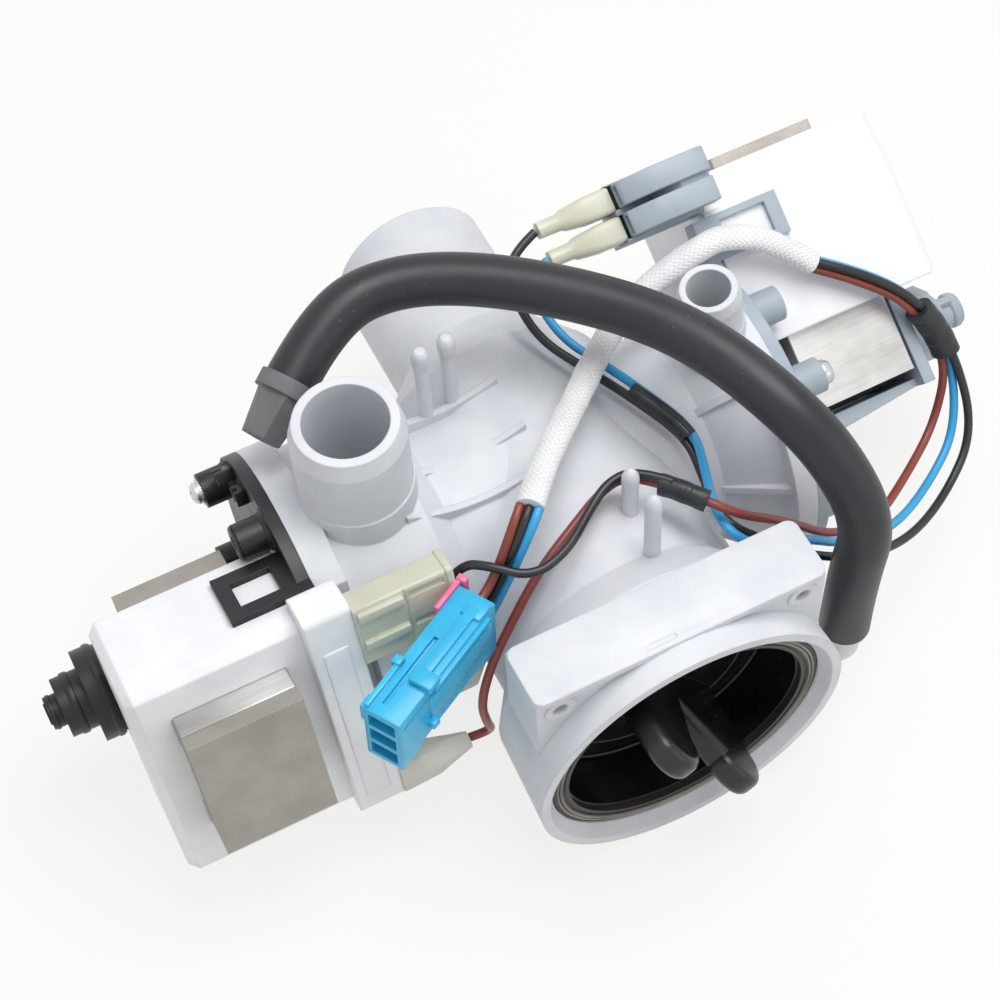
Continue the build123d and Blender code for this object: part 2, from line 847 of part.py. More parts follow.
# Drain motor: plate, rotor can and stepped rear cap in one black moulding
with BuildPart() as drain_can:
    with BuildSketch(motor_plane(-drain_face, drain_tilt)):
        Circle(flange_radius)
        with Locations((drain_plate_cut + flange_radius, 0)):
            Rectangle(flange_radius * 2, flange_radius * 2, mode=Mode.SUBTRACT)
    extrude(amount=-plate_thickness)
    with BuildSketch(across(-drain_face - plate_thickness)):
        for angle in drain_boss_angles:
            with PolarLocations(boss_circle_radius, 1, start_angle=angle):
                Circle(boss_radius)
    extrude(amount=-boss_length)
    with BuildSketch(across(-drain_face)):
        Circle(can_radius)
    extrude(amount=-drain_can_body)
    step_start = drain_can_body
    for radius, step in zip(drain_can_radii, drain_can_steps):
        with BuildSketch(across(-drain_face - step_start)):
            Circle(radius)
        extrude(amount=-step)
        step_start = step_start + step

    # Register in the pump room and the latch loop on the shell
    with BuildSketch(across(-drain_face)):
        Circle(register_radius)
    extrude(amount=register_length)
    with BuildSketch(motor_plane(-drain_face, drain_tilt)):
        with Locations(((loop_back + loop_front) / 2, -drain_shell_up - loop_thickness / 2)):
            Rectangle(loop_front - loop_back, loop_thickness)
    extrude(amount=-loop_reach)
    loop_top = Plane(
        origin=motor_plane(-drain_face, drain_tilt).from_local_coords((0, -drain_shell_up - loop_thickness, 0)),
        x_dir=(1, 0, 0),
        z_dir=(0, sin(radians(drain_tilt)), cos(radians(drain_tilt))),
    )
    with BuildSketch(loop_top):
        with Locations(((-loop_reach + loop_rim - plate_thickness - loop_rim) / 2, -(loop_back + loop_front) / 2)):
            Rectangle(loop_reach - plate_thickness - loop_rim * 2, loop_front - loop_back - loop_rim * 2)
    extrude(amount=-loop_thickness, mode=Mode.SUBTRACT)

    # Bore of the can and the screw holes
    with BuildSketch(across(-drain_face + register_length)):
        Circle(can_radius - can_wall)
    extrude(amount=-drain_can_body - register_length + can_end_wall, mode=Mode.SUBTRACT)
    with BuildSketch(across(-drain_face - drain_can_body + can_end_wall)):
        Circle(bush_radius)
    extrude(amount=-bush_length, mode=Mode.SUBTRACT)
    with BuildSketch(across(-drain_face)):
        for angle in drain_boss_angles:
            with PolarLocations(boss_circle_radius, 1, start_angle=angle):
                Circle(screw_radius)
    extrude(amount=-plate_thickness - boss_length, mode=Mode.SUBTRACT)

drain_can.part.label = "drain_can"
export_step(drain_can.part, "parts/drain_can.step")
print("drain can solids", len(drain_can.part.solids()))

# Screws of the black plate
with BuildPart() as drain_plate_screws:
    screw_seat = -drain_face - plate_thickness - boss_length
    for angle in drain_screw_angles:
        with BuildSketch(across(screw_seat)):
            with PolarLocations(boss_circle_radius, 1, start_angle=angle):
                Circle(screw_head_radius)
        extrude(amount=-screw_head_height)
        with BuildSketch(across(screw_seat)):
            with PolarLocations(boss_circle_radius, 1, start_angle=angle):
                Circle(screw_radius)
        extrude(amount=screw_length)

drain_plate_screws.part.label = "drain_plate_screws"
export_step(drain_plate_screws.part, "parts/drain_plate_screws.step")

# Laminated core of the drain motor: a U with the rotor between its legs
with BuildPart() as drain_core:
    with BuildSketch(motor_plane(-drain_face - drain_core_near, drain_tilt)):
        with Locations(((drain_yoke_out - core_tail) / 2, 0)):
            Rectangle(drain_yoke_out + core_tail, core_half * 2)
        with Locations(((leg_gap_start + drain_yoke_in) / 2, 0)):
            Rectangle(drain_yoke_in - leg_gap_start, leg_gap * 2, mode=Mode.SUBTRACT)
        Circle(core_bore, mode=Mode.SUBTRACT)
    extrude(amount=-core_stack)

drain_core.part.label = "drain_core"
export_step(drain_core.part, "parts/drain_core.step")

# Encapsulated coils of the drain motor, with the terminal end beside the plate
with BuildPart() as drain_coil_shell:
    with BuildSketch(motor_plane(-drain_face - drain_shell_near, drain_tilt)):
        with Locations(((drain_shell_back + drain_shell_front) / 2, (drain_shell_down - drain_shell_up) / 2)):
            Rectangle(drain_shell_front - drain_shell_back, drain_shell_down + drain_shell_up)
    extrude(amount=drain_shell_near - drain_shell_far)
    chamfer(drain_coil_shell.edges().filter_by(Axis.X), length=drain_shell_chamfer)
    chamfer(drain_coil_shell.faces().sort_by(Axis.X)[0].edges(), length=drain_shell_chamfer)
    with BuildSketch(motor_plane(-drain_face + drain_step_near, drain_tilt)):
        with Locations(((drain_step_back + drain_step_front) / 2, (drain_shell_down - drain_step_up) / 2)):
            RectangleRounded(drain_step_front - drain_step_back, drain_shell_down + drain_step_up, drain_shell_chamfer)
    extrude(amount=-drain_step_near - drain_shell_near - drain_step_lap)
    with BuildSketch(motor_plane(-drain_face - drain_shell_near, drain_tilt)):
        Circle(core_bore)
    extrude(amount=drain_shell_near - drain_shell_far, mode=Mode.SUBTRACT)
    add(drain_core.part, mode=Mode.SUBTRACT)

drain_coil_shell.part.label = "drain_coil_shell"
export_step(drain_coil_shell.part, "parts/drain_coil_shell.step")
print("drain shell solids", len(drain_coil_shell.part.solids()))

# Circulation motor: plate, rotor can, tray, cheek and rear cap in one moulding
with BuildPart() as circulation_can:
    with BuildSketch(across(circulation_face)):
        Circle(flange_radius)
    extrude(amount=plate_thickness)
    with BuildSketch(motor_plane(circulation_face, circulation_tilt)):
        with BuildLine():
            Polyline(
                (strap_front / 2, circulation_shell_up / 2),
                (strap_back, circulation_shell_up - core_tail / 2),
                (strap_back, circulation_shell_up + strap_thickness),
                (strap_front, circulation_shell_up + strap_thickness),
                (strap_front / 2, circulation_shell_up + core_tail),
                close=True,
            )
        make_face()
    extrude(amount=plate_thickness)
    with BuildSketch(across(circulation_face + plate_thickness)):
        for angle in circulation_boss_angles:
            with PolarLocations(boss_circle_radius, 1, start_angle=angle):
                Circle(boss_radius)
    extrude(amount=boss_length)
    with BuildSketch(across(circulation_face)):
        Circle(can_radius)
    extrude(amount=cheek_near + cheek_thickness)
    with BuildSketch(across(circulation_face)):
        Circle(register_radius)
    extrude(amount=-register_length)

    # Strap with its window, lying on the shell
    with BuildSketch(motor_plane(circulation_face, circulation_tilt)):
        with Locations(((strap_back + strap_front) / 2, circulation_shell_up + strap_thickness / 2)):
            Rectangle(strap_back - strap_front, strap_thickness)
    extrude(amount=strap_reach)
    strap_top = Plane(
        origin=motor_plane(circulation_face, circulation_tilt).from_local_coords(
            (0, circulation_shell_up + strap_thickness, 0)
        ),
        x_dir=(1, 0, 0),
        z_dir=(0, -sin(radians(circulation_tilt)), -cos(radians(circulation_tilt))),
    )
    with BuildSketch(strap_top):
        with Locations(((strap_reach + plate_thickness) / 2, (strap_back + strap_front) / 2)):
            Rectangle(strap_reach - plate_thickness - loop_rim * 2, strap_back - strap_front - loop_rim)
    extrude(amount=-strap_thickness, mode=Mode.SUBTRACT)

    # Cheek and the stepped rear block
    with BuildSketch(motor_plane(circulation_face + cheek_near, circulation_tilt)):
        with Locations(((cheek_back - cheek_front) / 2, 0)):
            Rectangle(cheek_back + cheek_front, cheek_half * 2)
    extrude(amount=cheek_thickness)
    with BuildSketch(motor_plane(circulation_face + cheek_near, circulation_tilt)):
        RegularPolygon(rear_block_radius, 8)
    extrude(amount=rear_block_end - cheek_near)
    with BuildSketch(across(circulation_face + rear_block_end)):
        Circle(rear_knob_radius)
    extrude(amount=rear_knob_length)

    # Tray under the ends of the legs
    tray_plane = Plane(
        origin=motor_plane(circulation_face, circulation_tilt).from_local_coords((0, -cheek_half, 0)),
        x_dir=(1, 0, 0),
        z_dir=(0, -sin(radians(circulation_tilt)), -cos(radians(circulation_tilt))),
    )
    with BuildSketch(tray_plane):
        with BuildLine():
            Polyline(
                (0, -tray_deep),
                (cheek_near + cheek_thickness, -tray_low),
                (cheek_near + cheek_thickness, -tray_high),
                (0, -tray_high),
                close=True,
            )
        make_face()
    extrude(amount=cheek_half + tray_side)

    # Bore of the can and the screw holes
    with BuildSketch(across(circulation_face - register_length)):
        Circle(can_radius - can_wall)
    extrude(amount=circulation_can_body + register_length - can_end_wall, mode=Mode.SUBTRACT)
    with BuildSketch(across(circulation_face + circulation_can_body - can_end_wall)):
        Circle(bush_radius)
    extrude(amount=bush_length, mode=Mode.SUBTRACT)
    with BuildSketch(across(circulation_face)):
        for angle in circulation_boss_angles:
            with PolarLocations(boss_circle_radius, 1, start_angle=angle):
                Circle(screw_radius)
    extrude(amount=plate_thickness + boss_length, mode=Mode.SUBTRACT)

circulation_can.part.label = "circulation_can"
export_step(circulation_can.part, "parts/circulation_can.step")
print("circulation can solids", len(circulation_can.part.solids()), circulation_can.part.bounding_box())

# Screws of the blue-grey plate
with BuildPart() as circulation_plate_screws:
    screw_seat = circulation_face + plate_thickness + boss_length
    for angle in circulation_screw_angles:
        with BuildSketch(across(screw_seat)):
            with PolarLocations(boss_circle_radius, 1, start_angle=angle):
                Circle(screw_head_radius)
        extrude(amount=screw_head_height)
        with BuildSketch(across(screw_seat)):
            with PolarLocations(boss_circle_radius, 1, start_angle=angle):
                Circle(screw_radius)
        extrude(amount=-screw_length)

circulation_plate_screws.part.label = "circulation_plate_screws"
export_step(circulation_plate_screws.part, "parts/circulation_plate_screws.step")

# Laminated core of the circulation motor
with BuildPart() as circulation_core:
    with BuildSketch(motor_plane(circulation_face + circulation_core_near, circulation_tilt)):
        with Locations(((circulation_yoke_out - core_tail) / 2, 0)):
            Rectangle(circulation_yoke_out + core_tail, core_half * 2)
        with Locations(((leg_gap_start + circulation_yoke_in) / 2, 0)):
            Rectangle(circulation_yoke_in - leg_gap_start, leg_gap * 2, mode=Mode.SUBTRACT)
        Circle(core_bore, mode=Mode.SUBTRACT)
    extrude(amount=core_stack)

circulation_core.part.label = "circulation_core"
export_step(circulation_core.part, "parts/circulation_core.step")

# Encapsulated coils of the circulation motor, stepped down over the yoke
with BuildPart() as circulation_coil_shell:
    with BuildSketch(motor_plane(circulation_face + circulation_shell_near, circulation_tilt)):
        with BuildLine():
            Polyline(
                (circulation_shell_front, -circulation_shell_down),
                (circulation_shell_front, circulation_shell_up),
                (circulation_shell_step, circulation_shell_up),
                (circulation_shell_step, circulation_shell_low),
                (circulation_shell_back, circulation_shell_low),
                (circulation_shell_back, -circulation_shell_down),
                close=True,
            )
        make_face()
    extrude(amount=circulation_shell_far - circulation_shell_near)
    chamfer(circulation_coil_shell.faces().sort_by(Axis.X)[-1].edges(), length=drain_shell_chamfer)
    add(circulation_core.part, mode=Mode.SUBTRACT)

circulation_coil_shell.part.label = "circulation_coil_shell"
export_step(circulation_coil_shell.part, "parts/circulation_coil_shell.step")
print("circulation shell solids", len(circulation_coil_shell.part.solids()))


def rotor_parts(side: str, face: float, out: float, rear: float) -> None:
    """Make the impeller, magnet, shaft, bushes and gasket of one pump.

    face is the plate face along X, out the sign away from the barrel and
    rear the distance from the face to the bottom of the can bore.
    """
    blade_tip = impeller_radius - blade_thickness / 2
    blade_root = impeller_hub - blade_thickness / 2
    blade_middle = (blade_tip + blade_root) / 2
    turn = radians(blade_sweep)
    blade_line = ThreePointArc(
        (blade_root, 0),
        (blade_middle * cos(turn * blade_bow_share), blade_middle * sin(turn * blade_bow_share)),
        (blade_tip * cos(turn), blade_tip * sin(turn)),
    )
    with BuildPart() as impeller:
        with BuildSketch(across(face - out * impeller_near)):
            Circle(impeller_radius)
            Circle(shaft_radius, mode=Mode.SUBTRACT)
        extrude(amount=-out * impeller_disc)
        with BuildSketch(across(face - out * (impeller_near + impeller_disc))):
            Circle(impeller_hub)
            with PolarLocations(0, blade_count):
                SlotArc(blade_line, height=blade_thickness)
            Circle(shaft_radius, mode=Mode.SUBTRACT)
        extrude(amount=-out * blade_height)
    impeller.part.label = side + "_impeller"
    export_step(impeller.part, "parts/" + side + "_impeller.step")

    with BuildPart() as magnet:
        with BuildSketch(across(face + out * magnet_near)):
            Circle(magnet_radius)
            Circle(shaft_radius, mode=Mode.SUBTRACT)
        extrude(amount=out * (rear - magnet_near - magnet_gap))
    magnet.part.label = side + "_magnet"
    export_step(magnet.part, "parts/" + side + "_magnet.step")

    with BuildPart() as shaft:
        with BuildSketch(across(face - out * (impeller_near + impeller_disc + shaft_nose))):
            Circle(shaft_radius)
        extrude(amount=out * (impeller_near + impeller_disc + shaft_nose + rear + bush_length - shaft_end_gap))
    shaft.part.label = side + "_shaft"
    export_step(shaft.part, "parts/" + side + "_shaft.step")

    with BuildPart() as bushes:
        with BuildSketch(across(face + out * front_bush_near)):
            Circle(can_radius - can_wall)
            Circle(bush_bore, mode=Mode.SUBTRACT)
        extrude(amount=out * bush_length)
        with BuildSketch(across(face + out * rear)):
            Circle(bush_radius)
            Circle(bush_bore, mode=Mode.SUBTRACT)
        extrude(amount=out * bush_length)
    bushes.part.label = side + "_bushes"
    export_step(bushes.part, "parts/" + side + "_bushes.step")

    with BuildPart() as gasket:
        with BuildSketch(across(face)):
            Circle(room_radius + gasket_width)
            Circle(room_radius, mode=Mode.SUBTRACT)
        extrude(amount=-out * gasket_depth)
    gasket.part.label = side + "_plate_seal"
    export_step(gasket.part, "parts/" + side + "_plate_seal.step")


rotor_parts("drain", -drain_face, -1, drain_can_body - can_end_wall)
rotor_parts("circulation", circulation_face, 1, circulation_can_body - can_end_wall)

# Tinned blades that stand out of the drain shell
with BuildPart() as drain_terminals:
    with BuildSketch(motor_plane(-drain_face + drain_step_near, drain_tilt)):
        for place in plug_blade_places:
            with Locations(((plug_back + plug_front) / 2, place)):
                Rectangle(blade_stock, blade_width)
    extrude(amount=blade_reach)

drain_terminals.part.label = "drain_terminals"
export_step(drain_terminals.part, "parts/drain_terminals.step")

# Cream plug on those blades
with BuildPart() as drain_terminal_housing:
    with BuildSketch(motor_plane(-drain_face + drain_step_near, drain_tilt)):
        with Locations(((plug_back + plug_front) / 2, -(plug_up + plug_low) / 2)):
            RectangleRounded(plug_front - plug_back, plug_up - plug_low, plug_rib_height)
    extrude(amount=plug_length)
    with BuildSketch(motor_plane(-drain_face + drain_step_near, drain_tilt)):
        for place in plug_rib_places:
            with Locations((plug_front, place)):
                RectangleRounded(plug_rib_height * 2, plug_rib_width, plug_rib_height * rib_round_share)
    extrude(amount=plug_rib_length)
    add(drain_terminals.part, mode=Mode.SUBTRACT)

drain_terminal_housing.part.label = "drain_terminal_housing"
export_step(drain_terminal_housing.part, "parts/drain_terminal_housing.step")
print("plug solids", len(drain_terminal_housing.part.solids()))

# Blue-grey terminal block with its two towers
with BuildPart() as circulation_terminal_block:
    with BuildSketch(motor_plane(block_end, circulation_tilt)):
        with Locations((block_tail + block_width / 2, (block_top + block_low) / 2)):
            Rectangle(block_width, block_top - block_low)
    extrude(amount=circulation_face + circulation_shell_near - block_end)
    with BuildSketch(motor_plane(tower_start, circulation_tilt)):
        for place in tower_places:
            with Locations((place, block_top + tower_height / 2 - plug_rib_height)):
                RectangleRounded(tower_width, tower_height + plug_rib_height, plug_rib_height)
    extrude(amount=tower_length)

circulation_terminal_block.part.label = "circulation_terminal_block"
export_step(circulation_terminal_block.part, "parts/circulation_terminal_block.step")
print("block solids", len(circulation_terminal_block.part.solids()))

# Blades of the circulation motor and the cream boots pushed onto them
boot_middle = block_top - boot_height / 2
with BuildPart() as circulation_terminals:
    with BuildSketch(motor_plane(block_end, circulation_tilt)):
        for place in tower_places:
            with Locations((place, boot_middle)):
                Rectangle(blade_stock, blade_width)
    extrude(amount=-blade_reach)

circulation_terminals.part.label = "circulation_terminals"
export_step(circulation_terminals.part, "parts/circulation_terminals.step")

with BuildPart() as circulation_terminal_boots:
    with BuildSketch(motor_plane(block_end, circulation_tilt)):
        for place in tower_places:
            with Locations((place, boot_middle)):
                RectangleRounded(boot_width, boot_height, plug_rib_height)
    extrude(amount=-boot_length + boot_neck_length)
    with BuildSketch(motor_plane(block_end - boot_length + boot_neck_length, circulation_tilt)):
        for place in tower_places:
            with Locations((place, boot_middle)):
                RectangleRounded(boot_neck, boot_neck, plug_rib_height)
    extrude(amount=-boot_neck_length)
    add(circulation_terminals.part, mode=Mode.SUBTRACT)

circulation_terminal_boots.part.label = "circulation_terminal_boots"
export_step(circulation_terminal_boots.part, "parts/circulation_terminal_boots.step")
print("boot solids", len(circulation_terminal_boots.part.solids()))


def from_mouth(point: tuple) -> Vector:
    """A point given from the middle of the mouth, in the frame of the part."""
    return Vector(point[0], point[1] + mouth_y, point[2] + axis_z)


# Cyan three way connector, on its edge against the cream plug
connector_along = Vector(*connector_run).normalized()
toward_viewer = Vector(0, -sin(radians(lean_of_connector)), cos(radians(lean_of_connector)))
connector_side = toward_viewer.cross(connector_along).normalized()
connector_end = Plane(
    origin=from_mouth(connector_start),
    x_dir=connector_side,
    z_dir=connector_along,
)
with BuildPart() as lead_connector:
    with BuildSketch(connector_end):
        RectangleRounded(connector_width, connector_thickness, side_rib_width / 2)
    extrude(amount=connector_length)
    with BuildSketch(connector_end):
        with GridLocations(cavity_pitch, cavity_pitch, 3, 1):
            Rectangle(cavity_width, cavity_height)
    extrude(amount=cavity_depth, mode=Mode.SUBTRACT)
    with BuildSketch(connector_end.offset(cavity_depth)):
        with GridLocations(connector_width, connector_width, 2, 1):
            Rectangle(side_rib_width, connector_thickness / 2)
    extrude(amount=side_rib_length)
    with BuildSketch(connector_end.offset(cavity_depth)):
        with Locations((connector_width / 2 - latch_width / 2, connector_thickness / 2)):
            Rectangle(latch_width, latch_height * 2)
    extrude(amount=latch_length)

lead_connector.part.label = "lead_connector"
export_step(lead_connector.part, "parts/lead_connector.step")
print("connector solids", len(lead_connector.part.solids()))

# Pink retainer on the plug side of the connector
with BuildPart() as connector_retainer:
    with BuildSketch(connector_end.offset(connector_length - retainer_length + retainer_past)):
        with Locations((connector_width / 2 - retainer_height / 2, -connector_thickness / 2 - retainer_width / 2)):
            RectangleRounded(retainer_height, retainer_width, retainer_width * rib_round_share)
    extrude(amount=retainer_length)

connector_retainer.part.label = "connector_retainer"
export_step(connector_retainer.part, "parts/connector_retainer.step")

# Clear boot and blade at the low end of the drain shell
with BuildPart() as lower_terminal:
    with BuildSketch(motor_plane(-drain_face + drain_step_near, drain_tilt)):
        with Locations(((plug_back + plug_front) / 2, -clear_blade)):
            Rectangle(blade_stock, blade_width)
    extrude(amount=blade_reach)

lower_terminal.part.label = "lower_terminal"
export_step(lower_terminal.part, "parts/lower_terminal.step")

with BuildPart() as lower_terminal_boot:
    with BuildSketch(motor_plane(-drain_face + drain_step_near, drain_tilt)):
        with Locations(((plug_back + plug_front) / 2, -(clear_boot_up + clear_boot_low) / 2)):
            RectangleRounded(plug_front - plug_back, clear_boot_up - clear_boot_low, plug_rib_height * 2)
    extrude(amount=clear_boot_length)
    add(lower_terminal.part, mode=Mode.SUBTRACT)

lower_terminal_boot.part.label = "lower_terminal_boot"
export_step(lower_terminal_boot.part, "parts/lower_terminal_boot.step")


def tangent_radii(points: list) -> list:
    """The largest sound radius at each turn of a route."""
    radii = []
    for before, point, after in zip(points, points[1:], points[2:]):
        first = point - before
        second = after - point
        turn = radians(first.get_angle(second))
        radii.append(arc_share * min(first.length, second.length) / tan(turn / 2))
    return radii


def cord_part(label: str, points: list, radius: float) -> Part:
    """A round cord along straight runs that are joined by tangent arcs."""
    radii = tangent_radii(points)
    with BuildPart() as cord:
        with BuildLine():
            route = FilletPolyline(*points, radius=radii)
        with BuildSketch(Plane(origin=points[0], z_dir=points[1] - points[0])):
            Circle(radius)
        sweep(path=route)
    ideal = pi * radius * radius * route.length
    print(label, "length", round(route.length), "volume", round(cord.part.volume), "of", round(ideal))
    print("   radii", [round(value) for value in radii])
    cord.part.label = label
    return cord.part


# Residual water hose from the elbow nipple to its plug
hose_points = [from_mouth(point) for point in hose_route]
hose_solid = cord_part("residual_hose", hose_points, hose_radius)
hose_out = (hose_points[-1] - hose_points[-2]).normalized()
hose_end = Plane(origin=hose_points[-1], z_dir=hose_out)
with BuildPart() as residual_hose:
    add(hose_solid)
    with BuildSketch(Plane(origin=hose_points[0])):
        Circle(hose_bore)
    extrude(amount=nipple_top - shoulder_top, mode=Mode.SUBTRACT)
    with BuildSketch(hose_end):
        Circle(hose_bore)
    extrude(amount=-hose_plug_stub, mode=Mode.SUBTRACT)

residual_hose.part.label = "residual_hose"
export_step(residual_hose.part, "parts/residual_hose.step")

# Plug in the free end of the hose
with BuildPart() as hose_plug:
    with BuildSketch(hose_end):
        Circle(hose_bore - plug_clearance)
    extrude(amount=-hose_plug_stub + stub_end_gap)
    with BuildSketch(hose_end):
        Circle(hose_plug_collar)
    extrude(amount=hose_plug_collar_length)
    with BuildSketch(hose_end.offset(hose_plug_collar_length)):
        RegularPolygon(hose_plug_body, 6)
    with BuildSketch(hose_end.offset(hose_plug_length)):
        RegularPolygon(hose_plug_end, 6)
    loft()

hose_plug.part.label = "hose_plug"
export_step(hose_plug.part, "parts/hose_plug.step")

# White sleeve over the three leads, and the leads beyond it
sleeve_points = [from_mouth(point) for point in sleeve_route]
braided_sleeve = cord_part("braided_sleeve", sleeve_points, sleeve_radius)
export_step(braided_sleeve, "parts/braided_sleeve.step")
brown_points = [from_mouth(point) for point in brown_route]
brown_lead = cord_part("brown_lead", brown_points, lead_radius)
export_step(brown_lead, "parts/brown_lead.step")
blue_points = [from_mouth(point) for point in blue_route]
blue_lead = cord_part("blue_lead", blue_points, lead_radius)
export_step(blue_lead, "parts/blue_lead.step")
black_points = [from_mouth(point) for point in black_route]
black_lead = cord_part("black_lead", black_points, lead_radius)
export_step(black_lead, "parts/black_lead.step")
drain_lead_points = [from_mouth(point) for point in drain_lead_route]
drain_lead = cord_part("drain_lead", drain_lead_points, lead_radius)
export_step(drain_lead, "parts/drain_lead.step")

# Short leads between the connector and the sleeve
sleeve_in = (sleeve_points[1] - sleeve_points[0]).normalized()
sleeve_side = connector_side - sleeve_in * connector_side.dot(sleeve_in)
sleeve_side = sleeve_side.normalized()
sleeve_up = sleeve_in.cross(sleeve_side)
stub_solids = []
for place in (-1, 0, 1):
    start = connector_end.offset(connector_length).origin + connector_side * (cavity_pitch * place)
    finish = sleeve_points[0] - sleeve_up * (stub_spread * place) - sleeve_in * stub_end_gap / 2
    stub_points = [
        start,
        start + connector_along * stub_straight,
        finish - sleeve_in * stub_straight,
        finish,
    ]
    stub_solids.append(cord_part("connector_leads", stub_points, lead_radius))
with BuildPart() as connector_leads:
    add(stub_solids)

connector_leads.part.label = "connector_leads"
export_step(connector_leads.part, "parts/connector_leads.step")
print("connector leads solids", len(connector_leads.part.solids()))


def wrap_part(label: str, first: Vector, second: Vector, radius: float, share: float, inside: list) -> Part:
    """A wrap round some leads: a cylinder on the middle of one run."""
    middle = (first + second) / 2
    run = second - first
    with BuildPart() as wrap:
        with BuildSketch(Plane(origin=middle, z_dir=run)):
            Circle(radius)
        extrude(amount=run.length * share / 2, both=True)
        for lead in inside:
            add(lead, mode=Mode.SUBTRACT)
    wrap.part.label = label
    print(label, "solids", len(wrap.part.solids()), [round(piece.volume) for piece in wrap.part.solids()])
    return wrap.part


# Wraps that hold the leads together
harness_wrap = wrap_part(
    "harness_wrap",
    (brown_points[2] + blue_points[2] + black_points[2]) / 3,
    (brown_points[3] + blue_points[3] + black_points[3]) / 3,
    wrap_radius,
    wrap_share,
    [brown_lead, blue_lead, black_lead],
)
export_step(harness_wrap, "parts/harness_wrap.step")
lead_tape = wrap_part(
    "lead_tape", brown_points[11], brown_points[12], tape_radius, tape_share, [brown_lead, drain_lead]
)
export_step(lead_tape, "parts/lead_tape.step")
shrink_sleeve = wrap_part(
    "shrink_sleeve",
    (blue_points[14] + black_points[14]) / 2,
    (blue_points[15] + black_points[15]) / 2,
    shrink_radius,
    wrap_share,
    [blue_lead, black_lead],
)
export_step(shrink_sleeve, "parts/shrink_sleeve.step")
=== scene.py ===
"""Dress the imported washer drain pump: detailed meshes and finishes round its CAD frame.

Sizes are in millimetres, in the frame of the part, until a mesh is made from them.
"""
import logging
from dataclasses import dataclass
from enum import Enum
from math import cos, pi, radians, sin
from typing import Any, Callable, ClassVar, Iterable, Optional, Sequence

import bpy
from mathutils import Matrix, Vector


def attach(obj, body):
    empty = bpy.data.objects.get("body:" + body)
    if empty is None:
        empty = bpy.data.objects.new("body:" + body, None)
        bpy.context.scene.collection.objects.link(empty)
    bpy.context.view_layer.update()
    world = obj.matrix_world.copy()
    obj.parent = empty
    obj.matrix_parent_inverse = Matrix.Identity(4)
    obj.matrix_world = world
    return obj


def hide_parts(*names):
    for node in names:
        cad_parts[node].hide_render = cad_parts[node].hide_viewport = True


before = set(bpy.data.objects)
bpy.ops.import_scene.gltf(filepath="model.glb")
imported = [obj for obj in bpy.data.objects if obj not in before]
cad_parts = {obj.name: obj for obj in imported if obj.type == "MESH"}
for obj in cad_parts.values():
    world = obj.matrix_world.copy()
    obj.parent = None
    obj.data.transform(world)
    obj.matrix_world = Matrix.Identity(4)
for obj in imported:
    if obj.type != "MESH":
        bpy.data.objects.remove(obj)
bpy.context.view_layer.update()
MM = 0.001
LOG = logging.getLogger("pump")
Point = Sequence[float]
Points = Sequence[Point]
Corner = tuple[float, float]
Piece = bpy.types.Object
Tree = bpy.types.NodeTree
Socket = bpy.types.NodeSocket
# The edge between flat and round faces, in degrees: bevels start at it and shading is smooth below it
EDGE_ANGLE = 35.0
# The same for lofted boots and wraps, and for the hose and the sleeve
LOFT_ANGLE, SOFT_ANGLE = 50.0, 60.0
MOUTH = Vector((0.0, -9.0, -42.0))
PUMP_AXIS = Vector((0.0, 89.0, -42.0))


# ---------------------------------------------------------------- placing


def from_mouth(points: Iterable[Point]) -> list[Vector]:
    """Shift points that are given from the middle of the mouth."""
    return [Vector(point) + MOUTH for point in points]


def frame_at(origin: Point, x_axis: Point, z_axis: Point) -> Matrix:
    """Make a placing matrix.

    Args:
        origin: Place of the local origin, in millimetres.
        x_axis: Direction of the local X.
        z_axis: Direction of the local Z, square to it.

    Returns:
        The matrix from local to part coordinates, in metres.
    """
    x_unit = Vector(x_axis).normalized()
    z_unit = Vector(z_axis).normalized()
    placed = Matrix((x_unit, z_unit.cross(x_unit), z_unit)).transposed().to_4x4()
    placed.translation = Vector(origin) * MM
    return placed


def motor_frame(face: float, tilt: float) -> Matrix:
    """Frame on the pump axis: X to the yoke, Z along the axis to the right."""
    turn = radians(tilt)
    return frame_at((face, PUMP_AXIS.y, PUMP_AXIS.z), (0, -cos(turn), sin(turn)), (1, 0, 0))


def polar(reach: float, angle: float) -> Corner:
    """Give the two coordinates of a place by its distance and its angle in degrees."""
    return reach * cos(radians(angle)), reach * sin(radians(angle))


def barrel_frame(depth: float) -> Matrix:
    """Frame on the barrel axis, its Z looking back from the mouth."""
    return frame_at((0, MOUTH.y + depth, MOUTH.z), (1, 0, 0), (0, 1, 0))


# ---------------------------------------------------------------- finishes


def linear(code: str) -> tuple[float, float, float, float]:
    """Turn an sRGB hex code into a linear colour with full alpha, by the curve of the sRGB standard.

    Args:
        code: Hex code with its hash sign.

    Returns:
        Red, green, blue and alpha.
    """
    channels = []
    for start in (1, 3, 5):
        value = int(code[start:start + 2], 16) / 255
        channels.append(value / 12.92 if value <= 0.04045 else ((value + 0.055) / 1.055) ** 2.4)
    return (channels[0], channels[1], channels[2], 1.0)


def add(tree: Tree, kind: str, values: Optional[dict[Any, Any]] = None,
        links: Optional[dict[Any, Any]] = None) -> bpy.types.Node:
    """Add a node, set its values and link its inputs.

    Args:
        tree: Node tree that gets the node.
        kind: Blender's name for the node type.
        values: Input names or places, or attributes, with their values.
        links: Input names or places with the output sockets they take.

    Returns:
        The new node.
    """
    node = tree.nodes.new(kind)
    for key, value in (values or {}).items():
        if isinstance(key, str) and hasattr(node, key):
            setattr(node, key, value)
        else:
            node.inputs[key].default_value = value
    for key, socket in (links or {}).items():
        tree.links.new(node.inputs[key], socket)
    return node


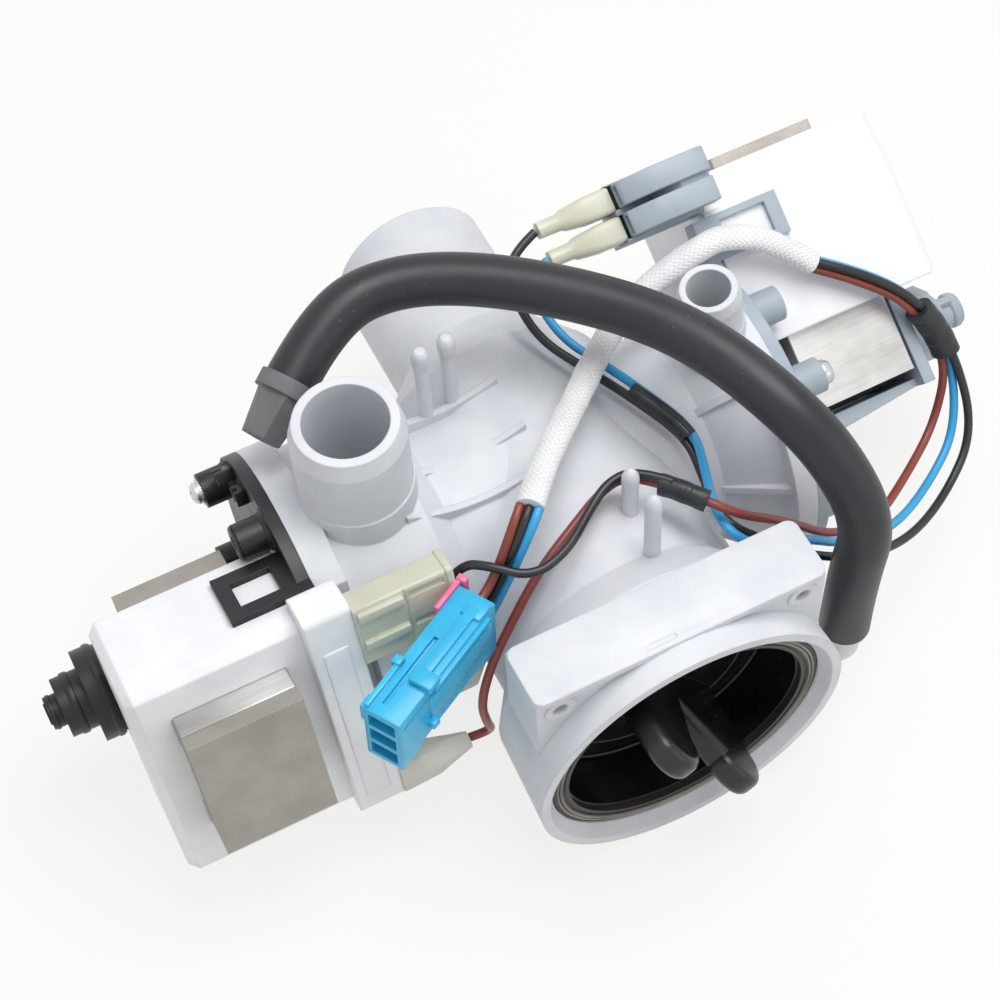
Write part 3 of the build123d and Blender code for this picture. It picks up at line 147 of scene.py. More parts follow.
def bare_tree(owner: bpy.types.ID) -> Tree:
    """Give a material or the world an empty node tree.

    Args:
        owner: The material or world.

    Returns:
        Its node tree.
    """
    owner.use_nodes = True
    owner.node_tree.nodes.clear()
    return owner.node_tree


class Pattern(Enum):
    """Ways in which a surface was made."""

    GRAIN = "moulded"
    SHEETS = "stacked sheets"
    BRAID = "woven sleeve"
    TURNS = "wound tape"
    BRUSHED = "drawn metal"


# Painted shade: how each pattern darkens its low parts, as the inputs of a Map Range
HOLLOW_SHADE: dict[Pattern, dict[int, float]] = {
    Pattern.BRUSHED: {1: 0.3, 2: 0.7, 3: 0.86},
    Pattern.SHEETS: {1: 0.0, 2: 0.5, 3: 0.84},
    Pattern.BRAID: {1: 0.0, 2: 0.6, 3: 0.8},
}


@dataclass(frozen=True)
class Finish:
    """A material as it comes: what it is, its colours and its surface.

    Lengths are in millimetres. The edge highlight colour is a painted highlight on rounded corners, the
    speck colour shows in dust or scuffs, and grain is the spacing of the fine relief.
    The class values hold for every finish. Those of a Map Range are numbered as
    its inputs: 1 and 2 the limits read, 3 and 4 the limits given.
    """

    METAL_FROM: ClassVar[float] = 0.5
    # How deep light goes into the plastics that it enters
    SUBSURFACE_REACH: ClassVar[float] = 2.0
    CLOUD_DETAIL: ClassVar[float] = 3.0
    FINE_DETAIL: ClassVar[float] = 2.0
    CORNER_SAMPLES: ClassVar[int] = 4
    # What the broad noise does to the colour and to the gloss
    TONES: ClassVar[dict[int, float]] = {1: 0.35, 2: 0.7}
    POLISH: ClassVar[dict[int, float]] = {1: 0.2, 2: 0.8}
    # How much of the flat normal the rounded one keeps where the painted edge highlight starts, and where it is
    # full
    CORNER: ClassVar[dict[int, float]] = {1: 0.97, 2: 0.8}
    # The rim of a speck, the patches in which specks lie, and how much wider than a speck these are
    SPECK_EDGE: ClassVar[dict[int, float]] = {1: 0.16, 2: 0.06}
    SPECK_PATCH: ClassVar[dict[int, float]] = {1: 0.5, 2: 0.75}
    PATCH_SPREAD: ClassVar[float] = 9.0
    # Drawn metal's streaks, drawn out along X
    STREAKS: ClassVar[tuple[float, float, float]] = (0.05, 1.0, 1.0)
    # How a tape's laps lean, and the groove between two
    LAP_LEAN: ClassVar[float] = 0.22
    LAP_GROOVE: ClassVar[dict[int, float]] = {1: 0.0, 2: 0.25}
    # How the sleeve's threads lean, and where one goes over the other
    THREAD_LEAN: ClassVar[float] = 0.7
    THREAD_CROSSING: ClassVar[dict[int, float]] = {1: 0.35, 2: 0.65}

    name: str
    colour: str
    shade: str
    roughness: float
    spread: float = 0.08
    metallic: float = 0.0
    ior: float = 1.5
    grain: float = 0.5
    relief: float = 0.01
    mottle: float = 14.0
    edge: float = 0.5
    edge_highlight_colour: str = ""
    specks: float = 0.0
    speck_size: float = 3.0
    speck_colour: str = "#9a9a96"
    transmission: float = 0.0
    sheen: float = 0.0
    subsurface: float = 0.0
    pattern: Pattern = Pattern.GRAIN

    def build(self) -> bpy.types.Material:
        """Make the node material.

        Returns:
            The new material.
        """
        material = bpy.data.materials.new(self.name)
        tree = bare_tree(material)
        output = add(tree, "ShaderNodeOutputMaterial")
        shader = add(tree, "ShaderNodeBsdfPrincipled", {
            "Metallic": self.metallic, "Transmission Weight": self.transmission, "Sheen Weight": self.sheen,
            "Subsurface Weight": self.subsurface, "Subsurface Scale": self.SUBSURFACE_REACH * MM,
        })
        if self.metallic < self.METAL_FROM:
            shader.inputs["IOR"].default_value = self.ior
        tree.links.new(output.inputs["Surface"], shader.outputs["BSDF"])
        coordinates = add(tree, "ShaderNodeTexCoord")
        place = coordinates.outputs["Object"]
        cloud = add(tree, "ShaderNodeTexNoise", {"Scale": 1 / (self.mottle * MM), "Detail": self.CLOUD_DETAIL},
                    {"Vector": place}).outputs["Fac"]
        fine = add(tree, "ShaderNodeTexNoise", {"Scale": 1 / (self.grain * MM), "Detail": self.FINE_DETAIL},
                   {"Vector": place}).outputs["Fac"]
        tone = add(tree, "ShaderNodeMapRange", self.TONES, {0: cloud})
        toned = add(tree, "ShaderNodeMix", {"data_type": "RGBA", 6: linear(self.colour), 7: linear(self.shade)},
                    {0: tone.outputs[0]})
        colour, height = self.patterned(tree, coordinates, toned.outputs[2], fine)
        rounded = add(tree, "ShaderNodeBevel", {"samples": self.CORNER_SAMPLES, "Radius": self.edge * MM})
        # Painted highlight on the rounded edges, broken up by the broad noise
        if self.edge_highlight_colour:
            colour = self.painted_edge_highlight(tree, rounded.outputs["Normal"], cloud, colour)
        if self.specks:
            colour = self.dusted(tree, place, colour)
        tree.links.new(shader.inputs["Base Color"], colour)
        rough = add(tree, "ShaderNodeMapRange", {**self.POLISH, 3: self.roughness - self.spread,
                                                 4: self.roughness + self.spread}, {0: cloud})
        tree.links.new(shader.inputs["Roughness"], rough.outputs[0])
        bump = add(tree, "ShaderNodeBump", {"Strength": 1.0, "Distance": self.relief * MM},
                   {"Height": height, "Normal": rounded.outputs["Normal"]})
        tree.links.new(shader.inputs["Normal"], bump.outputs["Normal"])
        return material

    def wave(self, tree: Tree, place: Socket, pitch: float, weights: Point) -> Socket:
        """Give a sine of a sum of the coordinates, from 0 to 1.

        Args:
            tree: Node tree.
            place: Coordinates, in metres.
            pitch: Distance from crest to crest, in millimetres.
            weights: Share of each coordinate in the sum.

        Returns:
            The socket of the wave.
        """
        along = add(tree, "ShaderNodeVectorMath", {"operation": "DOT_PRODUCT", 1: tuple(weights)}, {0: place})
        scaled = add(tree, "ShaderNodeMath", {"operation": "MULTIPLY", 1: 2 * pi / (pitch * MM)},
                     {0: along.outputs["Value"]})
        sine = add(tree, "ShaderNodeMath", {"operation": "SINE"}, {0: scaled.outputs[0]})
        return add(tree, "ShaderNodeMapRange", {1: -1.0, 2: 1.0}, {0: sine.outputs[0]}).outputs[0]

    def relief_of(self, tree: Tree, coordinates: bpy.types.Node) -> Socket:
        """Give the height of the pattern of the way the surface was made.

        Args:
            tree: Node tree.
            coordinates: Texture Coordinate node.

        Returns:
            The socket of the height, from 0 to 1.
        """
        place, along = coordinates.outputs["Object"], coordinates.outputs["UV"]
        if self.pattern is Pattern.BRUSHED:
            drawn = add(tree, "ShaderNodeMapping", {"Scale": self.STREAKS}, {"Vector": place})
            streaks = add(tree, "ShaderNodeTexNoise",
                          {"Scale": 1 / (self.grain * MM), "Detail": self.CLOUD_DETAIL},
                          {"Vector": drawn.outputs["Vector"]})
            return streaks.outputs["Fac"]
        if self.pattern is Pattern.SHEETS:
            return self.wave(tree, place, self.grain, (1.0, 0.0, 0.0))
        if self.pattern is Pattern.TURNS:
            laps = self.wave(tree, along, self.grain, (1.0, self.LAP_LEAN, 0.0))
            return add(tree, "ShaderNodeMapRange", self.LAP_GROOVE, {0: laps}).outputs[0]
        first, second = (self.wave(tree, along, self.grain, (self.THREAD_LEAN, lean, 0.0))
                         for lean in (1.0, -1.0))
        over = self.wave(tree, along, self.grain * 2, (0.0, 1.0, 0.0))
        above = add(tree, "ShaderNodeMapRange", self.THREAD_CROSSING, {0: over})
        crossing = add(tree, "ShaderNodeMix", {"data_type": "FLOAT"},
                       {0: above.outputs[0], 2: first, 3: second})
        return crossing.outputs[0]

    def patterned(self, tree: Tree, coordinates: bpy.types.Node, colour: Socket,
                  fine: Socket) -> tuple[Socket, Socket]:
        """Add the pattern of the way the surface was made, and paint shade into its low parts.

        Args:
            tree: Node tree.
            coordinates: Texture Coordinate node.
            colour: Colour so far.
            fine: Fine noise.

        Returns:
            Sockets of the colour and of the height.
        """
        if self.pattern is Pattern.GRAIN:
            return colour, fine
        height = self.relief_of(tree, coordinates)
        if self.pattern is Pattern.TURNS:
            return colour, height
        # Painted shade: the colour is darkened in the pattern's low parts
        amount = add(tree, "ShaderNodeMapRange", HOLLOW_SHADE[self.pattern], {0: height})
        dark = add(tree, "ShaderNodeVectorMath", {"operation": "SCALE"},
                   {0: colour, "Scale": amount.outputs[0]})
        return dark.outputs[0], height

    def painted_edge_highlight(self, tree: Tree, rounded_normal: Socket, cloud: Socket, colour: Socket) -> Socket:
        """Paint a highlight in the edge highlight colour where the rounded normal leaves the flat one.

        Args:
            tree: Node tree.
            rounded_normal: Normal of the rounded edges.
            cloud: Noise that breaks the painted highlight up.
            colour: Colour so far.

        Returns:
            The socket of the new colour.
        """
        flat = add(tree, "ShaderNodeNewGeometry")
        same = add(tree, "ShaderNodeVectorMath", {"operation": "DOT_PRODUCT"},
                   {0: flat.outputs["Normal"], 1: rounded_normal})
        # Share of painted edge highlight, from how far the rounded normal leaves the flat one
        edge = add(tree, "ShaderNodeMapRange", self.CORNER, {0: same.outputs["Value"]})
        highlight_share = add(tree, "ShaderNodeMath", {"operation": "MULTIPLY", "use_clamp": True},
                     {0: edge.outputs[0], 1: cloud})
        mixed = add(tree, "ShaderNodeMix", {"data_type": "RGBA", 7: linear(self.edge_highlight_colour)},
                    {0: highlight_share.outputs[0], 6: colour})
        return mixed.outputs[2]

    def dusted(self, tree: Tree, place: Socket, colour: Socket) -> Socket:
        """Scatter small specks of dust, in patches.

        Args:
            tree: Node tree.
            place: Coordinates.
            colour: Colour so far.

        Returns:
            The socket of the new colour.
        """
        dots = add(tree, "ShaderNodeTexVoronoi", {"Scale": 1 / (self.speck_size * MM)}, {"Vector": place})
        patch = add(tree, "ShaderNodeTexNoise", {"Scale": 1 / (self.speck_size * self.PATCH_SPREAD * MM)},
                    {"Vector": place})
        small = add(tree, "ShaderNodeMapRange", self.SPECK_EDGE, {0: dots.outputs["Distance"]})
        where = add(tree, "ShaderNodeMapRange", {**self.SPECK_PATCH, 4: self.specks}, {0: patch.outputs["Fac"]})
        amount = add(tree, "ShaderNodeMath", {"operation": "MULTIPLY"},
                     {0: small.outputs[0], 1: where.outputs[0]})
        mixed = add(tree, "ShaderNodeMix", {"data_type": "RGBA", 7: linear(self.speck_colour)},
                    {0: amount.outputs[0], 6: colour})
        return mixed.outputs[2]


# Talc filled polypropylene, moulded: pale cool grey with a satin bloom, and a painted highlight on its rounded
# edges
HOUSING = Finish("polypropylene_pale_grey", "#dadde1", "#d0d4da", 0.5, grain=0.6, relief=0.006, edge=0.8,
                 edge_highlight_colour="#e9ebee", subsurface=0.04)
# Glass filled nylon, moulded: black, semi-gloss, with a painted grey reflection on its edges
BLACK = Finish("nylon_black", "#0f1013", "#17181b", 0.42, grain=0.4, relief=0.012, edge=0.6,
               edge_highlight_colour="#303134", specks=0.35, speck_size=2.2, speck_colour="#5a5a5c")
# Polypropylene of the cap: black and glossier, with fine scuffs, and a painted taupe reflection on its edges
CAP = Finish("polypropylene_black", "#151617", "#242425", 0.26, edge=0.7, edge_highlight_colour="#5c5a57", specks=0.4,
             speck_size=1.8, speck_colour="#6a6762")
# Nitrile seal: black-brown and dull
SEAL = Finish("nitrile_black", "#2c2b29", "#383633", 0.5, relief=0.02, edge=0.3)
# The same black seal on its folds in the mouth: pale, a painted highlight where the folds catch the light
SEAL_HIGHLIGHT = Finish("nitrile_painted_highlight", "#98948b", "#7d7972", 0.55, grain=0.4, relief=0.02, edge=0.3)
# Basket, unfilled polypropylene: bluish white, satin
BASKET = Finish("polypropylene_natural", "#c6cacf", "#babfc6", 0.4, relief=0.008)
# Zinc plated screw steel: bright, slightly blue
ZINC = Finish("steel_zinc_plated", "#d6d7d9", "#b9bbbf", 0.28, metallic=1.0, grain=0.3, relief=0.004, edge=0.3)
# Electrical sheet, stamped and stacked: warm grey; the 0.5 mm sheets are drawn 0.8 mm apart, so that they show
CORE = Finish("silicon_steel_sheets", "#aea9a2", "#a29d97", 0.45, metallic=0.7, grain=0.8, relief=0.03,
              mottle=12.0, edge=0.25, pattern=Pattern.SHEETS)
# The same sheet where its rolled face shows: smooth and bright, drawn along the leg
LEG = Finish("silicon_steel_rolled", "#e9e8e5", "#b5b4b1", 0.34, metallic=0.6, grain=0.8, relief=0.006,
             mottle=26.0, edge=0.2, pattern=Pattern.BRUSHED)
# Coil encapsulation, filled polyester, cast: chalk white, with soft edges that carry a painted highlight
RESIN = Finish("polyester_white", "#f1f2f4", "#e9eaee", 0.4, grain=0.7, relief=0.008, edge=1.2,
               edge_highlight_colour="#fbfbfc", subsurface=0.05)
# Glass filled nylon, moulded: blue-grey, matt, with a painted highlight on its edges
BLUE_GREY = Finish("nylon_blue_grey", "#a7b1bb", "#9ca7b2", 0.46, grain=0.45, relief=0.012, edge=0.6,
                   edge_highlight_colour="#bec6ce")
# Nylon terminal housings, unfilled: cream and a little clear, with a painted highlight on its edges
CREAM = Finish("nylon_natural", "#e4e4d3", "#dbdbc5", 0.3, relief=0.008, edge_highlight_colour="#ecebdb", subsurface=0.15,
               transmission=0.2)
# Soft vinyl boot: nearly clear, warm white and glossy
CLEAR = Finish("vinyl_clear", "#f6f5ee", "#ecebe0", 0.2, grain=0.6, edge=0.6, transmission=0.35, ior=1.45)
# Nylon of the connector: bright cyan blue, with a pale painted highlight on its edges
CYAN = Finish("nylon_cyan", "#33b9e4", "#2aacdb", 0.3, edge=0.35, edge_highlight_colour="#7fdcf4", subsurface=0.1)
# Nylon of its retainer: the same moulding, pink, with a pale painted highlight on its edges
PINK = Finish("nylon_pink", "#ee7ba4", "#e56a97", 0.32, grain=0.4, relief=0.008, edge=0.3,
              edge_highlight_colour="#f8a9c4")
# EPDM hose: dull black, dusty, fine mould lines
HOSE = Finish("epdm_black", "#191a20", "#222329", 0.42, grain=0.9, relief=0.03, mottle=22.0, edge=0.4,
              specks=0.5, speck_size=2.6, speck_colour="#85857f", sheen=0.05)
# Rubber of the stopper: mid grey, dull, with a chalky bloom
PLUG = Finish("rubber_grey", "#6d6f70", "#5b5d5f", 0.6, relief=0.05, edge=0.7, specks=0.4,
              speck_colour="#b8b8b4")
# Glass fibre sleeve, saturated: white braid, threads drawn 1.3 mm apart
SLEEVE = Finish("glass_fibre_braid", "#f0f0f1", "#e6e7e9", 0.6, grain=1.3, relief=0.12, mottle=8.0, edge=0.2,
                sheen=0.3, pattern=Pattern.BRAID)
# Vinyl of the leads, extruded: even, with a soft gloss
BROWN = Finish("vinyl_brown", "#8c3f33", "#7d382e", 0.34, relief=0.006, edge=0.2, mottle=18.0)
BLUE = Finish("vinyl_blue", "#3aa6de", "#2f9ad3", 0.34, relief=0.006, edge=0.2, mottle=18.0)
BLACK_LEAD = Finish("vinyl_black", "#1c1d20", "#26272b", 0.34, relief=0.006, edge=0.2, mottle=18.0)
# Vinyl tape, wound: dull black, its laps 6 mm apart
TAPE = Finish("vinyl_tape_black", "#202124", "#2b2c2f", 0.45, grain=6.0, relief=0.2, edge=0.3, mottle=6.0,
              pattern=Pattern.TURNS)
# Heat shrunk sleeve, polyolefin: black, smooth and glossier than the tape
SHRINK = Finish("polyolefin_black", "#15161a", "#1d1e22", 0.28, edge=0.3, mottle=10.0)
# Brass, tinned and drawn: pale, with fine streaks
BRASS = Finish("brass_tinned", "#c9c5b8", "#b8b3a4", 0.3, metallic=1.0, grain=0.4, relief=0.004, edge=0.2,
               pattern=Pattern.BRUSHED)
# Bronze of the bushes, sintered: brown, open grain
BRONZE = Finish("bronze_sintered", "#a77c4e", "#8f6840", 0.45, metallic=1.0, grain=0.25, relief=0.02, edge=0.3)
# Ferrite of the magnets, pressed: charcoal, matt, with a painted highlight on its edges
FERRITE = Finish("ferrite", "#3a3b3e", "#2e2f32", 0.6, grain=0.3, relief=0.02, edge_highlight_colour="#55565a")
# Stainless steel of the shafts, ground: bright, with fine streaks
STEEL = Finish("stainless_steel_ground", "#c8cacd", "#b4b6ba", 0.2, metallic=1.0, grain=0.3, relief=0.004,
               edge=0.3, pattern=Pattern.BRUSHED)
# Polypropylene of the impellers, moulded: pale, satin
IMPELLER = Finish("polypropylene_impeller", "#e4e6e8", "#d8dbde", 0.38, relief=0.008)

CAD_FINISHES: dict[str, Finish] = {
    "pump_housing": HOUSING, "filter_cap": CAP, "cap_seal": SEAL, "filter_basket": BASKET, "drain_can": BLACK,
    "drain_plate_screws": ZINC, "drain_core": CORE, "drain_coil_shell": RESIN, "circulation_can": BLUE_GREY,
    "circulation_plate_screws": ZINC, "circulation_core": CORE, "circulation_coil_shell": RESIN,
    "drain_impeller": IMPELLER, "drain_magnet": FERRITE, "drain_shaft": STEEL, "drain_bushes": BRONZE,
    "drain_plate_seal": SEAL, "circulation_impeller": IMPELLER, "circulation_magnet": FERRITE,
    "circulation_shaft": STEEL, "circulation_bushes": BRONZE, "circulation_plate_seal": SEAL,
    "drain_terminals": BRASS, "drain_terminal_housing": CREAM, "circulation_terminal_block": BLUE_GREY,
    "circulation_terminals": BRASS, "circulation_terminal_boots": CREAM, "lower_terminal": BRASS,
    "lower_terminal_boot": CLEAR, "lead_connector": CYAN, "connector_retainer": PINK, "hose_plug": PLUG,
}


class Paintshop:
    """Builds each finish once and gives it to pieces."""

    def __init__(self) -> None:
        """Start with no material made."""
        self.made: dict[str, bpy.types.Material] = {}

    def material(self, finish: Finish) -> bpy.types.Material:
        """Give the material of a finish, making it the first time.

        Args:
            finish: The finish.

        Returns:
            Its material.
        """
        if finish.name not in self.made:
            self.made[finish.name] = finish.build()
        return self.made[finish.name]

    def paint(self, piece: Piece, finish: Finish) -> None:
        """Give a piece one finish all over."""
        piece.data.materials.clear()
        piece.data.materials.append(self.material(finish))

    def dress_frame(self) -> None:
        """Give every CAD node its finish."""
        for node, finish in CAD_FINISHES.items():
            self.paint(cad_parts[node], finish)


PAINT = Paintshop()


# ---------------------------------------------------------------- bench


# How far a cut runs out past a face, in millimetres, and how near two vertices are one, in metres
PAST, MERGE_WITHIN = 1.0, 1e-6
# Faces round a peg or boss, a screw or rim, a knob, and a ring of the filter cap
PEG_FACES, RIM_FACES, KNOB_FACES, CAP_FACES = 32, 40, 48, 96
# A screw's dome, as shares of its radius and height, and the washer under it, in millimetres
SCREW_DOME_SHARES = ((0, 1), (0.45, 0.97), (0.8, 0.84), (1, 0.55))
WASHER_SHARE, WASHER_TOP, WASHER_EDGE, SCREW_SINK = 1.2, 0.8, 0.7, 0.2
# Length and width of the recess's arms as shares of the radius, and its floor as a share of the height
RECESS_SHARES = (1.1, 0.24, 0.45)


def only(*objects: Piece) -> None:
    """Select these objects and no other.

    Args:
        objects: The objects, the one to be active first.
    """
    bpy.ops.object.select_all(action="DESELECT")
    for item in objects:
        item.select_set(True)
    bpy.context.view_layer.objects.active = objects[0]


def put(name: str, data: bpy.types.ID) -> Piece:
    """Add an object to the scene.

    Args:
        name: Its name.
        data: Its mesh, curve, camera or lamp.

    Returns:
        The new object.
    """
    item = bpy.data.objects.new(name, data)
    bpy.context.scene.collection.objects.link(item)
    return item


def settle(piece: Piece, place: Matrix) -> Piece:
    """Move a piece to its place and put that place in its mesh.

    Args:
        piece: The piece.
        place: Placing matrix.

    Returns:
        The same piece.
    """
    piece.matrix_world = place
    only(piece)
    bpy.ops.object.transform_apply(location=True, rotation=True, scale=True)
    return piece


def trace(name: str, points: Points, closed: bool) -> Piece:
    """Draw a chain of edges, one vertex extruded from point to point.

    Args:
        name: Name of the new object.
        points: Corners, in millimetres.
        closed: Whether the last corner joins the first.

    Returns:
        The new object, active, in object mode.
    """
    bpy.ops.object.select_all(action="DESELECT")
    bpy.ops.mesh.primitive_plane_add(size=MM)
    piece = bpy.context.object
    piece.name = name
    bpy.ops.object.mode_set(mode="EDIT")
    bpy.ops.mesh.select_all(action="SELECT")
    bpy.ops.mesh.merge(type="CENTER")
    corners = [Vector(point) * MM for point in points]
    bpy.ops.transform.translate(value=corners[0])
    for before, after in zip(corners, corners[1:]):
        bpy.ops.mesh.extrude_region_move(TRANSFORM_OT_translate={"value": after - before})
    if closed:
        bpy.ops.object.mode_set(mode="OBJECT")
        last = len(piece.data.vertices) - 1
        for vertex in piece.data.vertices:
            vertex.select = vertex.index in (0, last)
        bpy.ops.object.mode_set(mode="EDIT")
        bpy.ops.mesh.edge_face_add()
    bpy.ops.object.mode_set(mode="OBJECT")
    return piece


def turned(name: str, profile: Sequence[Corner], place: Matrix, steps: int = 64) -> Piece:
    """Spin a profile round the local Z.

    Args:
        name: Name of the new object.
        profile: Radius and height of each corner, in millimetres.
        place: Placing matrix.
        steps: Faces round the piece.

    Returns:
        The new object.
    """
    closed = profile[0][0] > 0 or profile[-1][0] > 0
    piece = trace(name, [(radius, 0, height) for radius, height in profile], closed)
    bpy.ops.object.mode_set(mode="EDIT")
    bpy.ops.mesh.select_all(action="SELECT")
    bpy.ops.mesh.spin(steps=steps, angle=2 * pi, center=(0, 0, 0), axis=(0, 0, 1))
    tidy_mesh()
    return settle(piece, place)


def fill_outline() -> None:
    """Close the outline of the active object with one face, and stay in edit mode."""
    bpy.ops.object.mode_set(mode="EDIT")
    bpy.ops.mesh.select_all(action="SELECT")
    bpy.ops.mesh.edge_face_add()


def tidy_mesh() -> None:
    """Merge doubles, turn faces outwards and leave edit mode."""
    bpy.ops.mesh.select_all(action="SELECT")
    bpy.ops.mesh.remove_doubles(threshold=MERGE_WITHIN)
    bpy.ops.mesh.select_all(action="SELECT")
    bpy.ops.mesh.normals_make_consistent(inside=False)
    bpy.ops.object.mode_set(mode="OBJECT")


def slab(name: str, outline: Sequence[Corner], low: float, high: float, place: Matrix) -> Piece:
    """Extrude a flat outline along the local Z.

    Args:
        name: Name of the new object.
        outline: Corners in the local XY plane, in millimetres.
        low: Start of the extrusion.
        high: End of the extrusion.
        place: Placing matrix.

    Returns:
        The new object.
    """
    piece = trace(name, [(x, y, low) for x, y in outline], True)
    fill_outline()
    bpy.ops.mesh.select_all(action="SELECT")
    bpy.ops.mesh.extrude_region_move(TRANSFORM_OT_translate={"value": (0, 0, (high - low) * MM)})
    tidy_mesh()
    return settle(piece, place)


def box_outline(centre: Point, size: Point, round_to: float = 0.0, steps: int = 4) -> list[Corner]:
    """Give the corners of a rectangle.

    Args:
        centre: Its middle, in millimetres.
        size: Its two sides.
        round_to: Radius of its corners, or none.
        steps: Edges in each rounded corner.

    Returns:
        The corners, in order.
    """
    half_x, half_y = size[0] / 2, size[1] / 2
    if not round_to:
        return [(centre[0] + sx * half_x, centre[1] + sy * half_y)
                for sx, sy in ((-1, -1), (1, -1), (1, 1), (-1, 1))]
    corners = []
    for number, (sx, sy) in enumerate(((1, 1), (-1, 1), (-1, -1), (1, -1))):
        for step in range(steps + 1):
            turn = radians(90 * number + 90 * step / steps)
            corners.append((centre[0] + sx * (half_x - round_to) + round_to * cos(turn),
                            centre[1] + sy * (half_y - round_to) + round_to * sin(turn)))
    return corners


def apply_modifier(piece: Piece, kind: str, **settings: Any) -> None:
    """Add a modifier and apply it.

    Args:
        piece: The piece.
        kind: Blender's name for the modifier.
        settings: Its settings.
    """
    modifier = piece.modifiers.new(kind.lower(), kind)
    for key, value in settings.items():
        setattr(modifier, key, value)
    only(piece)
    bpy.ops.object.modifier_apply(modifier=modifier.name)


def soften(piece: Piece, width: float, segments: int = 2) -> Piece:
    """Round the sharp edges of a piece.

    Args:
        piece: The piece.
        width: Width of the bevels, in millimetres.
        segments: Faces across a bevel.

    Returns:
        The same piece.
    """
    apply_modifier(piece, "BEVEL", width=width * MM, segments=segments, limit_method="ANGLE",
                   angle_limit=radians(EDGE_ANGLE), use_clamp_overlap=True)
    return piece


def carve(piece: Piece, tools: Sequence[Piece]) -> Piece:
    """Cut other objects out of a piece and remove them.

    Args:
        piece: The piece.
        tools: The objects that are cut out.

    Returns:
        The same piece.
    """
    for tool in tools:
        apply_modifier(piece, "BOOLEAN", operation="DIFFERENCE", solver="EXACT", object=tool)
        bpy.data.objects.remove(tool)
    return piece


def gather(name: str, parts: Sequence[Piece]) -> Piece:
    """Make several meshes one object.

    Args:
        name: Its name.
        parts: The meshes, of which the first takes in the others.

    Returns:
        The one object.
    """
    only(*parts)
    if len(parts) > 1:
        bpy.ops.object.join()
    parts[0].name = name
    return parts[0]


def dress(piece: Piece, finish: Finish, body: str = "housing",
          nodes: Sequence[str] = (), smooth: float = EDGE_ANGLE) -> Piece:
    """Finish a piece: shading, material, body and the nodes it stands for.

    Args:
        piece: The finished mesh.
        finish: Its finish.
        body: CAD body that it rides on.
        nodes: CAD nodes that it replaces.
        smooth: Angle up to which edges are shaded smooth.

    Returns:
        The same piece.
    """
    if piece.type == "MESH":
        only(piece)
        bpy.ops.object.shade_smooth_by_angle(angle=radians(smooth))
    PAINT.paint(piece, finish)
    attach(piece, body)
    if nodes:
        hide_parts(*nodes)
    LOG.info("%s on %s", piece.name, body)
    return piece


def loft(name: str, rings: Sequence[tuple[float, Sequence[Corner]]], place: Matrix) -> Piece:
    """Bridge a row of outlines with the same number of corners.

    Args:
        name: Name of the new object.
        rings: Height and corners of each outline, in millimetres.
        place: Placing matrix.

    Returns:
        The new object, closed at both ends.
    """
    outlines = [trace(name, [(x, y, height) for x, y in corners], True) for height, corners in rings]
    for end in (outlines[0], outlines[-1]):
        only(end)
        fill_outline()
        bpy.ops.object.mode_set(mode="OBJECT")
    piece = gather(name, outlines)
    around = len(rings[0][1])
    for ring in range(len(rings) - 1):
        low = ring * around
        for vertex in piece.data.vertices:
            vertex.select = low <= vertex.index < low + 2 * around
        for edge in piece.data.edges:
            edge.select = all(low <= index < low + 2 * around for index in edge.vertices)
        for face in piece.data.polygons:
            face.select = False
        bpy.ops.object.mode_set(mode="EDIT")
        bpy.ops.mesh.bridge_edge_loops()
        bpy.ops.object.mode_set(mode="OBJECT")
    bpy.ops.object.mode_set(mode="EDIT")
    tidy_mesh()
    return settle(piece, place)


def screw(name: str, radius: float, height: float, place: Matrix) -> Piece:
    """Make a domed screw head with a crossed recess and a washer below it.

    Args:
        name: Name of the new object.
        radius: Radius of the head, in millimetres.
        height: Height of the head.
        place: Frame on its seat, Z outwards.

    Returns:
        The screw head.
    """
    dome = [(radius * wide, height * high) for wide, high in SCREW_DOME_SHARES]
    rim = radius * WASHER_SHARE
    washer = [(radius, WASHER_TOP), (rim, WASHER_EDGE), (rim, -SCREW_SINK), (0, -SCREW_SINK)]
    head = turned(name, dome + washer, place, RIM_FACES)
    long, short = radius * RECESS_SHARES[0], radius * RECESS_SHARES[1]
    arms = [slab("recess", box_outline((0, 0), size), height * RECESS_SHARES[2], height + PAST, place)
            for size in ((long, short), (short, long))]
    return carve(head, arms)


# ---------------------------------------------------------------- leads and hose


# Points of a smooth line between two control points, and its order
LINE_STEPS, LINE_ORDER = 12, 3


def spline(name: str, points: Sequence[Vector]) -> Piece:
    """Draw a smooth line with these control points.

    Args:
        name: Name of the new object.
        points: Control points, in millimetres.

    Returns:
        A curve object of one open spline.
    """
    curve = bpy.data.curves.new(name, "CURVE")
    curve.dimensions = "3D"
    curve.resolution_u = LINE_STEPS
    line = curve.splines.new("NURBS")
    line.points.add(len(points) - 1)
    for control, point in zip(line.points, points):
        control.co = (*(point * MM), 1.0)
    line.order_u = LINE_ORDER
    line.use_endpoint_u = True
    return put(name, curve)


def centre_line(name: str, points: Sequence[Vector]) -> list[Vector]:
    """Read points from the smooth line of a route.

    Args:
        name: Name of the route.
        points: Its control points, in millimetres.

    Returns:
        The points of the line, in metres.
    """
    item = spline(name + "_route", points)
    read = bpy.data.meshes.new_from_object(item.evaluated_get(bpy.context.evaluated_depsgraph_get()))
    line = [vertex.co.copy() for vertex in read.vertices]
    bpy.data.meshes.remove(read)
    bpy.data.objects.remove(item)
    return line


def length_of(line: Sequence[Vector]) -> float:
    """Length of a line of points."""
    return sum((after - before).length for before, after in zip(line, line[1:]))


